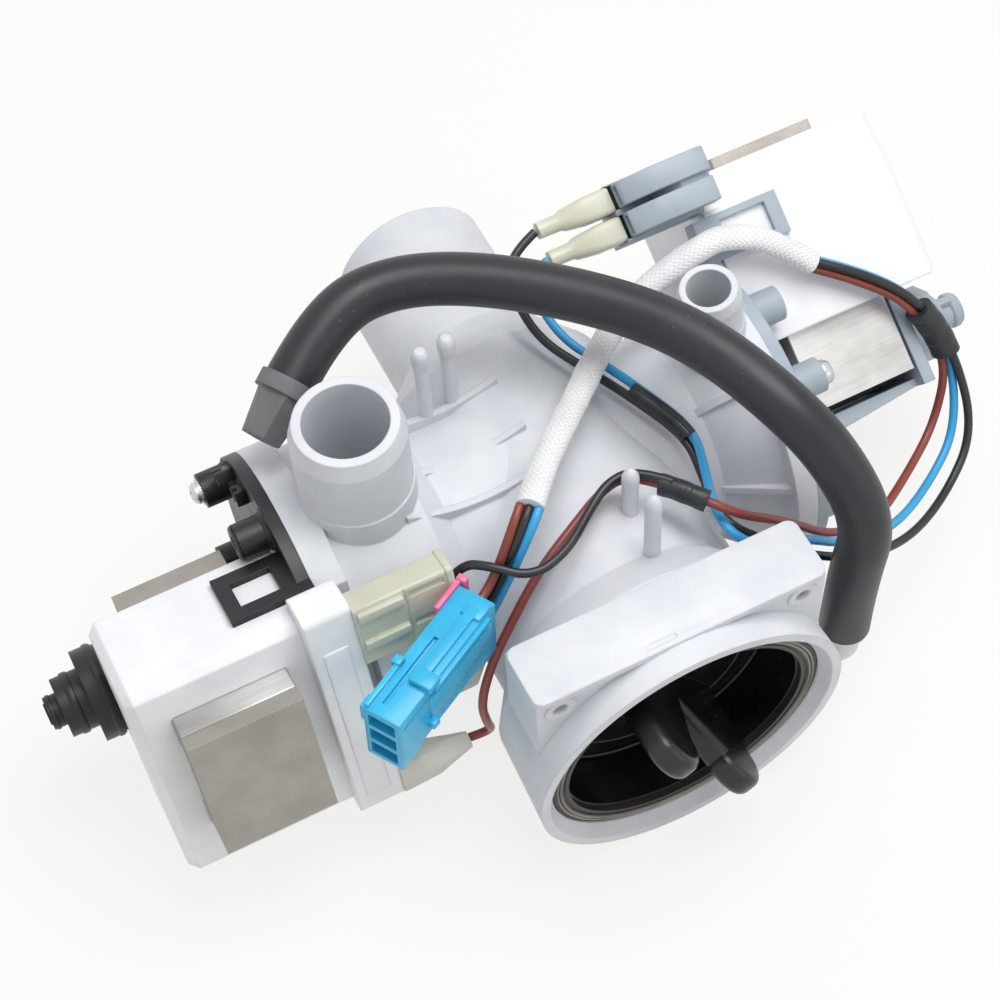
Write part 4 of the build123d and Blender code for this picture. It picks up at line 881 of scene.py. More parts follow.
def tube(name: str, line: Sequence[Vector], section: Callable[[float, float], float],
         around: int = 24, caps: bool = True, first_side: Point = (0, 0, 1)) -> Piece:
    """Skin a line of points with rings that share a steady frame.

    Args:
        name: Name of the new object.
        line: Centreline, in metres.
        section: Radius in millimetres for a length along, in metres, and an angle.
        around: Vertices in a ring.
        caps: Whether the ends are closed.
        first_side: Direction towards which angle 0 points at the start.

    Returns:
        A mesh tube with its own UV map: length along and round, in metres.
    """
    vertices, faces, coords = [], [], []
    side = Vector(first_side)
    run = 0.0
    runs = []
    for number, point in enumerate(line):
        before, after = line[max(number - 1, 0)], line[min(number + 1, len(line) - 1)]
        along = (after - before).normalized()
        side = (side - along * side.dot(along)).normalized()
        other = along.cross(side)
        if number:
            run += (point - line[number - 1]).length
        runs.append(run)
        for step in range(around):
            turn = 2 * pi * step / around
            radius = section(run, turn) * MM
            vertices.append(point + (side * cos(turn) + other * sin(turn)) * radius)
    girth = 2 * pi * section(run / 2, 0.0) * MM
    for ring in range(len(line) - 1):
        for step in range(around):
            after = (step + 1) % around
            faces.append((ring * around + step, ring * around + after,
                          (ring + 1) * around + after, (ring + 1) * around + step))
            low, high = girth * step / around, girth * (step + 1) / around
            coords += [(runs[ring], low), (runs[ring], high), (runs[ring + 1], high), (runs[ring + 1], low)]
    if caps:
        last = (len(line) - 1) * around
        faces += [tuple(reversed(range(around))), tuple(range(last, last + around))]
        coords += [(0.0, 0.0)] * (2 * around)
    mesh = bpy.data.meshes.new(name)
    mesh.from_pydata([tuple(vertex) for vertex in vertices], [], faces)
    layer = mesh.uv_layers.new(name="UVMap")
    layer.data.foreach_set("uv", [value for pair in coords for value in pair])
    return put(name, mesh)


@dataclass(frozen=True)
class Wrap:
    """A wrap round leads, its sizes in millimetres.

    It follows the first of its leads, between two shares of the way from one
    control point of that lead to the next. Its oval is the share by which it is
    wider than high, and its lap the step from turn to turn.
    """

    name: str
    node: str
    finish: Finish
    leads: Sequence[str]
    control: int
    shares: Point
    radius: float
    oval: float
    lap: float = 0.0


@dataclass
class Harness:
    """The hose, the sleeve, the leads and what wraps them."""

    hose_radius: float = 7.9
    # How far the hose's ends are pushed on, and by what share it swells there and varies elsewhere
    hose_grip: Point = (12.0, 9.0)
    hose_swell: float = 0.012
    hose_uneven: float = 0.004
    # Radians that its unevenness takes in a metre
    hose_waves: Point = (90.0, 20.0)
    sleeve_radius: float = 4.0
    # The sleeve's width share, how much less its height is, and how boxy that makes it
    sleeve_flat: Point = (1.09, 0.2, 1.5)
    # Shares and radians in a metre of the long and the short waves of its loose braid
    sleeve_waves: Points = ((0.025, 260.0), (0.02, 610.0))
    sleeve_side: Point = (0.5, -0.4, 0.2)
    lead_radius: float = 1.4
    lead_steps: int = 5
    # The short leads: how straight they leave, how far apart they enter the sleeve and how deep
    stub_reach: float = 7.0
    stub_spread: float = 2.75
    stub_depth: float = 0.25
    lap_pitch: float = 6.0
    wraps: Sequence[Wrap] = (
        Wrap("vinyl_wrap", "harness_wrap", TAPE, ("brown", "blue", "black"), 2, (0.15, 0.88), 4.4, 0.06, 0.12),
        Wrap("vinyl_tape", "lead_tape", TAPE, ("brown",), 11, (-0.1, 1.1), 3.3, 0.06, 0.12),
        Wrap("shrunk_sleeve", "shrink_sleeve", SHRINK, ("blue", "black"), 14, (-0.1, 1.1), 3.1, 0.12),
    )
    hose_route: Points = (
        (65, 20, -14), (65, 20, 14), (68.8, 21, 39.9), (62.8, 33.9, 61.4), (54.7, 49.9, 73.3),
        (44.4, 78.6, 76.1), (28.4, 103.2, 75.1), (0.6, 128.3, 75.4), (-25, 141.4, 75), (-46.5, 140, 73),
        (-63.5, 129, 65))
    sleeve_route: Points = (
        (-20.6, 61.0, 59.8), (-8.1, 74.9, 58.5), (4.9, 86.5, 54.8), (19.8, 101.6, 49), (38.8, 117.4, 47.5),
        (58.7, 120.6, 55), (82.3, 119.7, 62), (100.4, 107.1, 46))
    brown_route: Points = (
        (99.6, 105.9, 44.8), (112.2, 97.6, 40.4), (125.9, 87, 31.5), (135.6, 76.7, 9.5), (128, 68, -10),
        (110, 56, -12), (90, 43, -6), (69, 38, 8), (55, 39.5, 24), (44.5, 38.5, 36), (35, 39, 45),
        (27.5, 46, 48.5), (20, 56, 48.5), (11.5, 65, 47), (2.5, 64, 44.5), (-9, 57.5, 45), (-22.5, 51.5, 41.5),
        (-34, 45.5, 33.5), (-44.5, 41.5, 19), (-50, 39, 3), (-48.5, 38.7, -10), (-46.3, 40.5, -19.5),
        (-53.6, 42.1, -20.9))
    blue_route: Points = (
        (101.5, 108.4, 45.4), (114.4, 100.1, 41.1), (128.2, 88.8, 31.7), (137.9, 78.5, 9.7), (133, 63, -11),
        (116, 51.5, -15.5), (94.5, 39.5, -9), (72, 35, 5.5), (57.5, 35.5, 19), (46, 34, 28), (36, 33, 36.3),
        (31, 37.5, 41.3), (32, 48, 39), (37.5, 62, 35.8), (41.4, 76, 36.3), (32, 92, 43), (27, 108, 40.5),
        (20.5, 119.5, 42.5), (18, 131, 48), (18, 138.6, 54.2), (25.6, 139.7, 55.6))
    black_route: Points = (
        (101.2, 105.7, 47.1), (113.8, 97.5, 43.1), (128.2, 86.1, 32.9), (137.9, 75.8, 10.9), (138, 60, -12),
        (120.5, 47.5, -20), (98, 35.5, -13), (76, 31, 0), (61.5, 31.5, 11.5), (50.5, 34, 19.5),
        (42.5, 37, 28.5), (35, 41, 35), (34, 50, 34.3), (37, 62, 31.8), (38.9, 75.2, 34), (29, 90.7, 41.5),
        (21.5, 109, 40.5), (13.5, 122, 44), (11.5, 135, 51.5), (14, 144.5, 58), (25.6, 147.7, 60.7))
    drain_route: Points = (
        (21.8, 54.2, 51), (14.5, 62.8, 51), (5.5, 63.5, 50), (-4, 57.5, 49), (-14.5, 49.3, 49),
        (-27.5, 46, 48.5), (-37.5, 54.5, 50.5), (-43.5, 60.2, 47.5), (-49.6, 59.2, 41.3))

    def build(self, connector: "Connector") -> None:
        """Make the hose, the sleeve, the leads and their wraps.

        Args:
            connector: The connector that the short leads leave.
        """
        self.hose()
        self.sleeve()
        for name, route, finish, slot in (
            ("brown", self.brown_route, BROWN, "brown_insulation"),
            ("blue", self.blue_route, BLUE, "blue_insulation"),
            ("black", self.black_route, BLACK_LEAD, "black_insulation"),
            ("drain", self.drain_route, BLACK_LEAD, "black_insulation"),
        ):
            self.lead(name + "_vinyl_lead", from_mouth(route), finish, slot, name + "_lead")
        self.stubs(connector)
        self.wrap_up()

    def stubs(self, connector: "Connector") -> None:
        """Make the three short leads from the connector's cavities to the sleeve's end.

        Args:
            connector: The connector that they leave.
        """
        start, second = from_mouth(self.sleeve_route[:2])
        inwards = (second - start).normalized()
        across = (connector.side - inwards * connector.side.dot(inwards)).normalized()
        row = inwards.cross(across)
        for place, name, finish, slot in (
            (1, "connector_brown_lead", BROWN, "brown_insulation"),
            (0, "connector_black_lead", BLACK_LEAD, "black_insulation"),
            (-1, "connector_blue_lead", BLUE, "blue_insulation"),
        ):
            first = connector.point(connector.length, connector.cavity_pitch * place, 0.0)
            last = start - row * (self.stub_spread * place) - inwards * self.stub_depth
            points = [first, first + connector.along * self.stub_reach, last - inwards * self.stub_reach, last]
            self.lead(name, points, finish, slot, "connector_leads")

    def lead(self, name: str, points: Sequence[Vector], finish: Finish, slot: str, node: str) -> None:
        """Make one lead as a smooth curve.

        Args:
            name: Name of the piece.
            points: Control points, in millimetres.
            finish: Its finish.
            slot: Material slot of the record; not used.
            node: CAD node that it stands for.
        """
        piece = spline(name, points)
        piece.data.bevel_depth = self.lead_radius * MM
        piece.data.bevel_resolution = self.lead_steps
        piece.data.use_fill_caps = True
        dress(piece, finish, nodes=(node,))
        length_of(centre_line(name, points))

    def hose(self) -> None:
        """Make the hose, a shade fuller where it is pushed on the nipple and the plug."""
        points = from_mouth(self.hose_route)
        line = centre_line("hose", points)
        total = length_of(line)
        near, far = (grip * MM for grip in self.hose_grip)
        along, round_it = self.hose_waves

        def section(run: float, turn: float) -> float:
            """Give the radius.

            Args:
                run: Length along, in metres.
                turn: Angle round, in radians.

            Returns:
                The radius, in millimetres.
            """
            ends = max(0.0, 1 - run / near) + max(0.0, 1 - (total - run) / far)
            uneven = self.hose_uneven * sin(run * along) * cos(turn * 2 + run * round_it)
            return self.hose_radius * (1 + self.hose_swell * ends + uneven)

        piece = tube("rubber_hose", line, section, around=48)
        dress(piece, HOSE, nodes=("residual_hose",), smooth=SOFT_ANGLE)

    def sleeve(self) -> None:
        """Make the braided sleeve, flattened, with the small waves of loose braid."""
        points = from_mouth(self.sleeve_route)
        line = centre_line("sleeve", points)
        width, less, boxy = self.sleeve_flat
        (long_share, long_turn), (short_share, short_turn) = self.sleeve_waves

        def section(run: float, turn: float) -> float:
            """Give the radius.

            Args:
                run: Length along, in metres.
                turn: Angle round, in radians.

            Returns:
                The radius, in millimetres.
            """
            flat = width - less * abs(sin(turn)) ** boxy
            wave = (long_share * sin(run * long_turn + 2 * sin(turn))
                    + short_share * sin(run * short_turn + turn * 3))
            return self.sleeve_radius * (flat + wave)

        piece = tube("fibre_sleeve", line, section, around=40, first_side=self.sleeve_side)
        dress(piece, SLEEVE, nodes=("braided_sleeve",), smooth=SOFT_ANGLE)

    def middle_line(self, lines: Sequence[Sequence[Vector]], low: Vector, high: Vector) -> list[Vector]:
        """Give the middle of several lines along a stretch of the first.

        Args:
            lines: The lines, in metres.
            low: Place near which the stretch starts, in millimetres.
            high: Place near which it ends.

        Returns:
            The middle of the first line's points and the nearest of each other line.
        """
        first = min(range(len(lines[0])), key=lambda i: (lines[0][i] - low * MM).length)
        last = min(range(len(lines[0])), key=lambda i: (lines[0][i] - high * MM).length)
        middle = []
        for point in lines[0][first:last + 1]:
            near = [min(line, key=lambda other: (other - point).length) for line in lines]
            middle.append(sum(near, Vector()) / len(near))
        return middle

    def wrap_up(self) -> None:
        """Make the wrap of the three leads, the tape and the shrunk sleeve."""
        routes = {"brown": from_mouth(self.brown_route), "blue": from_mouth(self.blue_route),
                  "black": from_mouth(self.black_route)}
        lines = {name: centre_line(name, route) for name, route in routes.items()}
        for wrap in self.wraps:
            route = routes[wrap.leads[0]]
            before, after = route[wrap.control], route[wrap.control + 1]
            low, high = (before * (1 - share) + after * share for share in wrap.shares)
            line = self.middle_line([lines[lead] for lead in wrap.leads], low, high)

            def section(run: float, turn: float, wrap: Wrap = wrap) -> float:
                """Give the radius for a length along and an angle."""
                lap = wrap.lap if (run / MM) % self.lap_pitch < self.lap_pitch / 2 else 0.0
                return wrap.radius * (1 + wrap.oval * cos(turn * 2)) + lap

            piece = tube(wrap.name, line, section, around=32)
            dress(piece, wrap.finish, nodes=(wrap.node,), smooth=LOFT_ANGLE)


# ---------------------------------------------------------------- connector


@dataclass(frozen=True)
class Form:
    """A block on the connector, its limits in millimetres.

    The side limits are from its top edge, the up limits from its back (-1), its
    middle (0) or its face (1), and the run limits from its mouth, or from its
    lead end where they are below zero.
    """

    name: str
    side: Point
    level: int
    up: Point
    run: Point
    round_to: float = 0.3


@dataclass
class Connector:
    """The cyan three way connector, on its edge against the cream plug."""

    start: Point = (-85.3, 24.2, 39.9)
    run: Point = (43.0, 25.5, -4.3)
    lean: float = 86.0
    length: float = 48.0
    width: float = 23.0
    thickness: float = 12.2
    cavity: Point = (5.2, 8.8)
    cavity_pitch: float = 6.9
    cavity_depth: float = 14.0
    # The entries of the leads: their size as shares of a cavity's width and of the thickness, and their depth
    entry_shares: Point = (0.8, 0.6)
    entry_depth: float = 5.0
    corner: float = 0.5
    grooves: Sequence[Form] = (
        Form("top_groove", (-1.4, 1.0), 0, (-2.365, -0.835), (4.0, 29.76), 0.1),
        Form("face_groove", (-4.6, -3.7), 1, (-0.7, 1.0), (2.0, -4.0), 0.1),
        Form("face_step", (-24.0, -20.6), 1, (-0.9, 1.0), (9.0, -7.0), 0.1),
    )
    raised: Sequence[Form] = (
        Form("back_rail", (-0.5, 1.4), -1, (0.0, 1.7), (0.6, 19.0)),
        Form("back_ear", (-0.5, 2.2), -1, (-1.1, 1.7), (15.5, 18.5)),
        Form("latch_arm", (-0.5, 1.3), 0, (0.6, 4.0), (13.0, -5.0)),
        Form("latch_wedge", (-0.5, 2.4), 1, (-5.9, 1.4), (13.0, 18.5), 0.6),
        Form("latch_root", (-0.5, 1.0), 1, (-6.7, -0.2), (-8.0, -1.5)),
        Form("face_rib", (-3.2, -1.4), 1, (-0.4, 1.2), (16.0, -4.0)),
        Form("face_panel", (-14.7, -5.5), 1, (-0.4, 0.7), (14.0, -3.0)),
        Form("face_fin", (-16.3, -13.7), 1, (-0.4, 2.6), (12.2, 15.4), 0.5),
        Form("nose_frame", (-6.4, 0.4), -1, (-0.9, 0.6), (0.0, 4.5)),
    )
    retainer_strip: Form = Form("retainer_strip", (-4.8, 0.9), -1, (-1.7, 0.05), (37.3, 50.6), 0.45)
    retainer_lip: Form = Form("retainer_lip", (-4.8, 1.5), -1, (-1.7, 1.6), (48.6, 50.8), 0.4)
    retainer_notch: Form = Form("retainer_notch", (-3.4, -1.4), -1, (-2.4, -1.2), (39.5, 46.5), 0.1)

    def __post_init__(self) -> None:
        """Work out the three directions of the connector."""
        self.along = Vector(self.run).normalized()
        facing = Vector((0, -sin(radians(self.lean)), cos(radians(self.lean))))
        self.side = facing.cross(self.along).normalized()
        self.up = self.along.cross(self.side)
        self.origin = from_mouth([self.start])[0]

    def point(self, along: float, side: float, up: float) -> Vector:
        """A point of the connector, in the frame of the part."""
        return self.origin + self.along * along + self.side * side + self.up * up

    def lump(self, name: str, side: Point, up: Point, run: Point, round_to: float = 0.3) -> Piece:
        """Make a block between two places on each of the connector's directions.

        Args:
            name: Name of the block.
            side: Its limits across, from the connector's middle, in millimetres.
            up: Its limits through the thickness, from the middle.
            run: Its limits along, from the mouth.
            round_to: Width of its bevels.

        Returns:
            The block.
        """
        place = frame_at(self.origin, self.side, self.along)
        outline = [(side[0], up[0]), (side[1], up[0]), (side[1], up[1]), (side[0], up[1])]
        return soften(slab(name, outline, run[0], run[1], place), round_to)

    def form(self, form: Form) -> Piece:
        """Make a block from its limits.

        Args:
            form: The block's limits.

        Returns:
            The block.
        """
        top, level = self.width / 2, form.level * self.thickness / 2
        side = [top + limit for limit in form.side]
        up = [level + limit for limit in form.up]
        run = [limit + (self.length if limit < 0 else 0.0) for limit in form.run]
        return self.lump(form.name, side, up, run, form.round_to)

    def build(self) -> None:
        """Make the housing with its cavities, rails, latch arm and panels, and the pink retainer."""
        half_width, half_depth = self.width / 2, self.thickness / 2
        body = self.lump("nylon_connector", (-half_width, half_width), (-half_depth, half_depth),
                         (0, self.length), self.corner)
        cuts = []
        half, deep = self.cavity[0] / 2, self.cavity[1] / 2
        entry_half, entry_deep = half * self.entry_shares[0], half_depth * self.entry_shares[1]
        for place in (-1, 0, 1):
            middle = self.cavity_pitch * place
            cuts.append(self.lump("cavity", (middle - half, middle + half), (-deep, deep),
                                  (-PAST, self.cavity_depth)))
            cuts.append(self.lump("entry", (middle - entry_half, middle + entry_half),
                                  (-entry_deep, entry_deep),
                                  (self.length - self.entry_depth, self.length + PAST)))
        carve(body, cuts + [self.form(groove) for groove in self.grooves])
        piece = gather("nylon_connector", [body] + [self.form(form) for form in self.raised])
        dress(piece, CYAN, nodes=("lead_connector",))
        self.retainer()

    def retainer(self) -> None:
        """Make the pink retainer, a low clip with a lip at its end."""
        strip, lip, notch = (self.form(form) for form in
                             (self.retainer_strip, self.retainer_lip, self.retainer_notch))
        carve(strip, [notch])
        dress(gather("nylon_retainer", [strip, lip]), PINK, nodes=("connector_retainer",))


# ---------------------------------------------------------------- motors


@dataclass(frozen=True)
class Block:
    """A block in a frame: its outline's middle, size and rounding, its two ends and its bevels' width."""

    middle: Point
    size: Point
    ends: Point
    corner: float = 0.0
    bevel: float = 0.0
    steps: int = 4

    def build(self, name: str, place: Matrix) -> Piece:
        """Make the block in its frame, bevelled if it has a bevel."""
        made = slab(name, box_outline(self.middle, self.size, self.corner, self.steps), *self.ends, place)
        return soften(made, self.bevel) if self.bevel else made


@dataclass
class Motor:
    """What both motors have: their frames, their screws and the boots of their tabs.

    A boot's outlines are given by their place along the pump, width, depth and rounding.
    """

    tilt: float
    outwards: int
    screwed: Sequence[float]
    screw_seat: float
    screw_head: Point
    boot_rings: Points
    boss_circle: float = 43.0
    boot_corner_steps: int = 5

    def __post_init__(self) -> None:
        """Make the motor's frame and that of its turned details."""
        self.place = motor_frame(0.0, self.tilt)
        self.axis = frame_at((0, PUMP_AXIS.y, PUMP_AXIS.z), (0, 1, 0), (self.outwards, 0, 0))

    def boss_frame(self, angle: float, along: float) -> Matrix:
        """Give a frame on the boss at an angle, at a place along the pump, its Z pointing out of the pump."""
        forward, rise = polar(self.boss_circle, angle)
        return frame_at((along, PUMP_AXIS.y + forward, PUMP_AXIS.z + rise), (0, 1, 0), (self.outwards, 0, 0))

    def screws(self, name: str, node: str) -> None:
        """Make the domed screws with a crossed recess, as one piece.

        Args:
            name: Name of the piece.
            node: CAD node that it stands for.
        """
        made = [screw("zinc_screw", *self.screw_head, self.boss_frame(angle, self.screw_seat))
                for angle in self.screwed]
        dress(gather(name, made), ZINC, nodes=(node,))

    def boot(self, name: str, middle: Point) -> Piece:
        """Make a boot, squared at the tab and tapered to the lead, round a place in the motor's frame."""
        return loft(name, [(along, box_outline(middle, (width, depth), corner, self.boot_corner_steps))
                           for along, width, depth, corner in self.boot_rings], self.place)


@dataclass
class DrainMotor(Motor):
    """Details of the motor on the left: plate, bosses, cap, plug and yoke.

    The corners of a ring are a radius and a distance along its axis.
    """

    tilt: float = 16.0
    outwards: int = -1
    screwed: Sequence[float] = (30.0, -30.0, -90.0)
    screw_seat: float = -96.5
    screw_head: Point = (3.5, 3.4)
    boot_rings: Points = (
        (-78.0, 8.8, 10.8, 1.6), (-76.5, 9.0, 11.0, 1.8), (-66.0, 8.8, 10.8, 2.4), (-60.0, 7.2, 8.4, 3.0),
        (-55.0, 5.6, 5.8, 2.6), (-54.0, 5.2, 5.2, 2.4))
    boot_middle: Point = (48.5, 35.5)
    face: float = -83.0
    plate: float = -87.0
    hollow_boss: float = 88.0
    boss_rim: Points = ((2.4, -0.2), (5.0, -0.2), (5.5, 0.3), (4.9, 0.9), (3.0, 0.9), (2.4, 0.4))
    boss_foot: Points = ((5.4, 0.0), (7.1, 0.0), (6.1, 0.5), (5.6, 1.6), (5.4, 1.6))
    # Latch blocks on the plate: angle and reach round the axis, then width, depth and height
    latches: Points = ((47.0, 46.0, 6.5, 4.0, 5.5), (62.0, 42.5, 5.0, 5.0, 3.5), (8.0, 45.5, 5.0, 4.0, 4.5))
    latch_sink: float = 0.4
    latch_bevel: float = 0.3
    # Faces round each step ring of the bearing cap, and its corners
    cap_steps: Sequence[Any] = (
        (64, ((13.6, 146.3), (14.6, 146.3), (15.0, 146.9), (15.0, 148.1), (14.6, 148.6), (13.6, 148.6))),
        (48, ((8.6, 155.5), (9.7, 155.5), (9.9, 156.1), (9.9, 157.4), (9.6, 158.0), (8.6, 158.0))),
        (48, ((4.6, 163.0), (5.4, 163.0), (5.55, 163.5), (5.4, 164.2), (4.6, 164.2))),
    )
    cap_seat: Points = ((1.6, 164.9), (3.2, 164.9), (3.6, 165.2), (3.2, 165.5), (1.9, 165.3))
    # A thin bright steel strip on the yoke's top edge: a painted highlight where that face catches the light
    highlight_band: Block = Block((50.4, -23.05), (8.0, 0.5), (-134.2, -99.8), 0.2, 0.15)
    panel: Block = Block((51.9, 4.0), (1.0, 62.0), (-89.5, -81.5), 0.4, 0.4)
    # The plug's blocks, with their ends from the motor's face, and the bevels of its windows and slots
    plug_block: Block = Block((48.5, -28.0), (9.0, 22.0), (5.0, 36.0), 1.0)
    plug_windows: Sequence[Block] = tuple(
        Block((53.0, rise), (1.6, 2.2), (22.0, 33.0)) for rise in (-36.0, -25.0))
    plug_slots: Sequence[Block] = tuple(
        Block((48.5, rise), (6.0, 5.0), (30.0, 37.0)) for rise in (-30.5, -22.5))
    plug_line: Block = Block((53.0, -28.0), (0.6, 24.0), (20.2, 21.0))
    plug_ribs: Sequence[Block] = tuple(
        Block((53.3, rise), (2.6, 3.2), (6.0, 20.0), 0.6, 0.3) for rise in (-36.0, -25.0))
    plug_lip: Block = Block((48.5, -28.0), (10.2, 22.8), (33.8, 36.0), 1.0, 0.3)
    plug_mouth: Block = Block((48.5, -28.0), (7.0, 19.0), (32.0, 37.0))
    plug_bevel: float = 0.25

    def build(self) -> None:
        """Make and dress the details."""
        self.screws("drain_zinc_screws", "drain_plate_screws")
        self.bosses()
        self.plate_latches()
        self.bearing_cap()
        # The yoke's band is a painted highlight on its top edge
        dress(self.highlight_band.build("yoke_band", self.place), LEG)
        dress(self.panel.build("step_panel", self.place), RESIN)
        self.plug()
        dress(self.boot("vinyl_boot", self.boot_middle), CLEAR, nodes=("lower_terminal_boot",),
              smooth=LOFT_ANGLE)

    def bosses(self) -> None:
        """Make the rim and the dark bore of the boss that has no screw, and a collar at each boss's foot."""
        rim = turned("boss_rim", self.boss_rim, self.boss_frame(self.hollow_boss, self.screw_seat), PEG_FACES)
        dress(rim, BLACK)
        feet = [turned("boss_foot", self.boss_foot, self.boss_frame(angle, self.plate), PEG_FACES)
                for angle in (*self.screwed, self.hollow_boss)]
        dress(gather("boss_feet", feet), BLACK)

    def plate_latches(self) -> None:
        """Make the latch blocks at the plate's edge, each with a slot of half its width and height."""
        made = []
        for angle, reach, width, depth, height in self.latches:
            forward, rise = polar(reach, angle)
            place = frame_at((self.plate, PUMP_AXIS.y + forward, PUMP_AXIS.z + rise),
                             (0, -sin(radians(angle)), cos(radians(angle))), (-1, 0, 0))
            block = slab("latch_block", box_outline((0, 0), (width, depth)), -self.latch_sink, height, place)
            slot = slab("latch_slot", box_outline((0, 0), (width / 2, depth + PAST)), height / 2, height + PAST,
                        place)
            made.append(soften(carve(block, [slot]), self.latch_bevel))
        dress(gather("plate_latches", made), BLACK)

    def bearing_cap(self) -> None:
        """Make the step rings of the rear bearing cap and the grey ring in its end."""
        rings = [turned("cap_ring", corners, self.axis, around) for around, corners in self.cap_steps]
        dress(gather("bearing_cap_rings", rings), BLACK)
        dress(turned("cap_seat", self.cap_seat, self.axis, RIM_FACES), SEAL)

    def plug(self) -> None:
        """Make the cream plug on the drain motor's tabs, with ribs, windows and a lead hole."""
        place = motor_frame(self.face, self.tilt)
        block = self.plug_block.build("plug_block", place)
        cuts = [cut.build("plug_cut", place) for cut in (*self.plug_windows, *self.plug_slots, self.plug_line)]
        block = soften(carve(block, cuts), self.plug_bevel)
        ribs = [rib.build("plug_rib", place) for rib in self.plug_ribs]
        lip = carve(self.plug_lip.build("plug_lip", place), [self.plug_mouth.build("plug_mouth", place)])
        dress(gather("nylon_plug", [block, *ribs, lip]), CREAM,
              nodes=("drain_terminal_housing",))


@dataclass
class CirculationMotor(Motor):
    """Details of the motor on the right: screws, knob, terminal block, boots and steel leg.

    A tower's and the bridge's corners are a place along the pump and a height
    above the block, and those of a tower's top are from its own height.
    """

    tilt: float = 147.5
    outwards: int = 1
    screwed: Sequence[float] = (122.0, -118.0, -58.0)
    screw_seat: float = 84.5
    screw_head: Point = (3.9, 4.2)
    boot_rings: Points = (
        (50.4, 8.0, 11.0, 1.4), (49.0, 8.2, 11.2, 1.6), (42.5, 8.2, 11.2, 1.8), (39.0, 7.6, 9.0, 2.4),
        (35.0, 6.8, 7.0, 3.0), (33.5, 5.4, 5.6, 2.6), (26.3, 5.2, 5.2, 2.4))
    # The two tabs and what sits on them: places from the pump axis towards the yoke, and their height
    tab_places: Point = (65.0, 74.5)
    tab_rise: float = 24.5
    skin: Block = Block((30.0, 23.15), (82.0, 0.5), (87.5, 122.1))
    skin_gap: Block = Block((46.5, 23.0), (57.0, 3.0), (76.0, 123.0))
    knob_rings: Sequence[Points] = (
        ((0, 142.8), (8.2, 142.8), (8.2, 145.4), (7.6, 146.0), (0, 146.0)),
        ((3.2, 153.2), (5.5, 153.2), (5.9, 152.6), (5.9, 150.6), (5.4, 150.0), (3.2, 150.0)))
    nibs: Sequence[Block] = tuple(
        Block((0.0, side), (2.6, 3.4), (145.0, 150.4), 0.0, 0.4) for side in (-6.0, 6.0))
    base: Block = Block((69.5, 22.0), (19.0, 16.0), (50.0, 76.5), 1.0)
    base_top: float = 30.0
    # Widths of the bevels of the base, of a tower and of the bridge
    bevels: Point = (0.4, 0.5, 0.3)
    mouth: Points = ((8.4, 11.4), (49.0, 57.0))
    tower_width: float = 7.6
    tower_heights: Point = (11.4, 12.6)
    tower_sink: float = 0.4
    tower_wall: float = 1.0
    tower_foot: Points = ((51.5, 0.0), (80.5, 0.0))
    tower_top: Points = (
        (80.5, -4.2), (79.9, -1.9), (78.4, -0.4), (76.2, 0.0), (61.0, 0.0), (52.5, -5.0), (51.5, -6.0))
    tower_mouth: Points = ((50.0, 0.9), (56.5, 0.9), (56.5, 4.4), (50.0, 4.4))
    bridge: Points = (
        (62.0, 0.0), (80.0, 0.0), (80.0, 7.4), (78.6, 9.2), (76.0, 10.0), (69.5, 10.0), (62.0, 2.0))

    def build(self) -> None:
        """Make and dress the details."""
        self.screws("circulation_zinc_screws", "circulation_plate_screws")
        skin = carve(self.skin.build("leg_skin", self.place), [self.skin_gap.build("leg_gap", self.place)])
        dress(skin, LEG)
        self.terminal_block()
        boots = [self.boot("lead_boot", (tab, self.tab_rise)) for tab in self.tab_places]
        dress(gather("nylon_boots", boots), CREAM, nodes=("circulation_terminal_boots",),
              smooth=LOFT_ANGLE)
        knob = [turned("knob_ring", ring, self.axis, KNOB_FACES) for ring in self.knob_rings]
        knob += [nib.build("knob_nib", self.axis) for nib in self.nibs]
        dress(gather("rear_knob_details", knob), BLUE_GREY)

    def terminal_block(self) -> None:
        """Make the terminal block with its two sloped towers, their dark mouths and the bridge between them."""
        base = self.base.build("terminal_base", self.place)
        mouths = [Block((tab, self.tab_rise), *self.mouth, 1.0).build("boot_mouth", self.place)
                  for tab in self.tab_places]
        base_bevel, tower_bevel, bridge_bevel = self.bevels
        soften(carve(base, mouths), base_bevel)
        side = frame_at((0, PUMP_AXIS.y, PUMP_AXIS.z), (1, 0, 0), self.place.col[0].to_3d())
        half = self.tower_width / 2
        towers = []
        for tab, height in zip(self.tab_places, self.tower_heights):
            outline = [*self.tower_foot, *((x, height + down) for x, down in self.tower_top)]
            tower = slab("terminal_tower", self.raised(outline, self.tower_sink), tab - half, tab + half, side)
            mouth = slab("tower_mouth", self.raised(self.tower_mouth), tab - half + self.tower_wall,
                         tab + half - self.tower_wall, side)
            towers.append(soften(carve(tower, [mouth]), tower_bevel))
        lap = half - self.tower_sink
        bridge = slab("tower_bridge", self.raised(self.bridge, self.tower_sink), self.tab_places[0] + lap,
                      self.tab_places[1] - lap, side)
        towers.append(soften(bridge, bridge_bevel))
        dress(gather("nylon_terminal_block", [base] + towers), BLUE_GREY,
              nodes=("circulation_terminal_block",))

    def raised(self, outline: Points, sink: float = 0.0) -> list[Corner]:
        """Put an outline on the block's top, sunk a little, in the frame whose Y runs down into the block."""
        return [(x, sink - self.base_top - rise) for x, rise in outline]


# ---------------------------------------------------------------- housing and cap


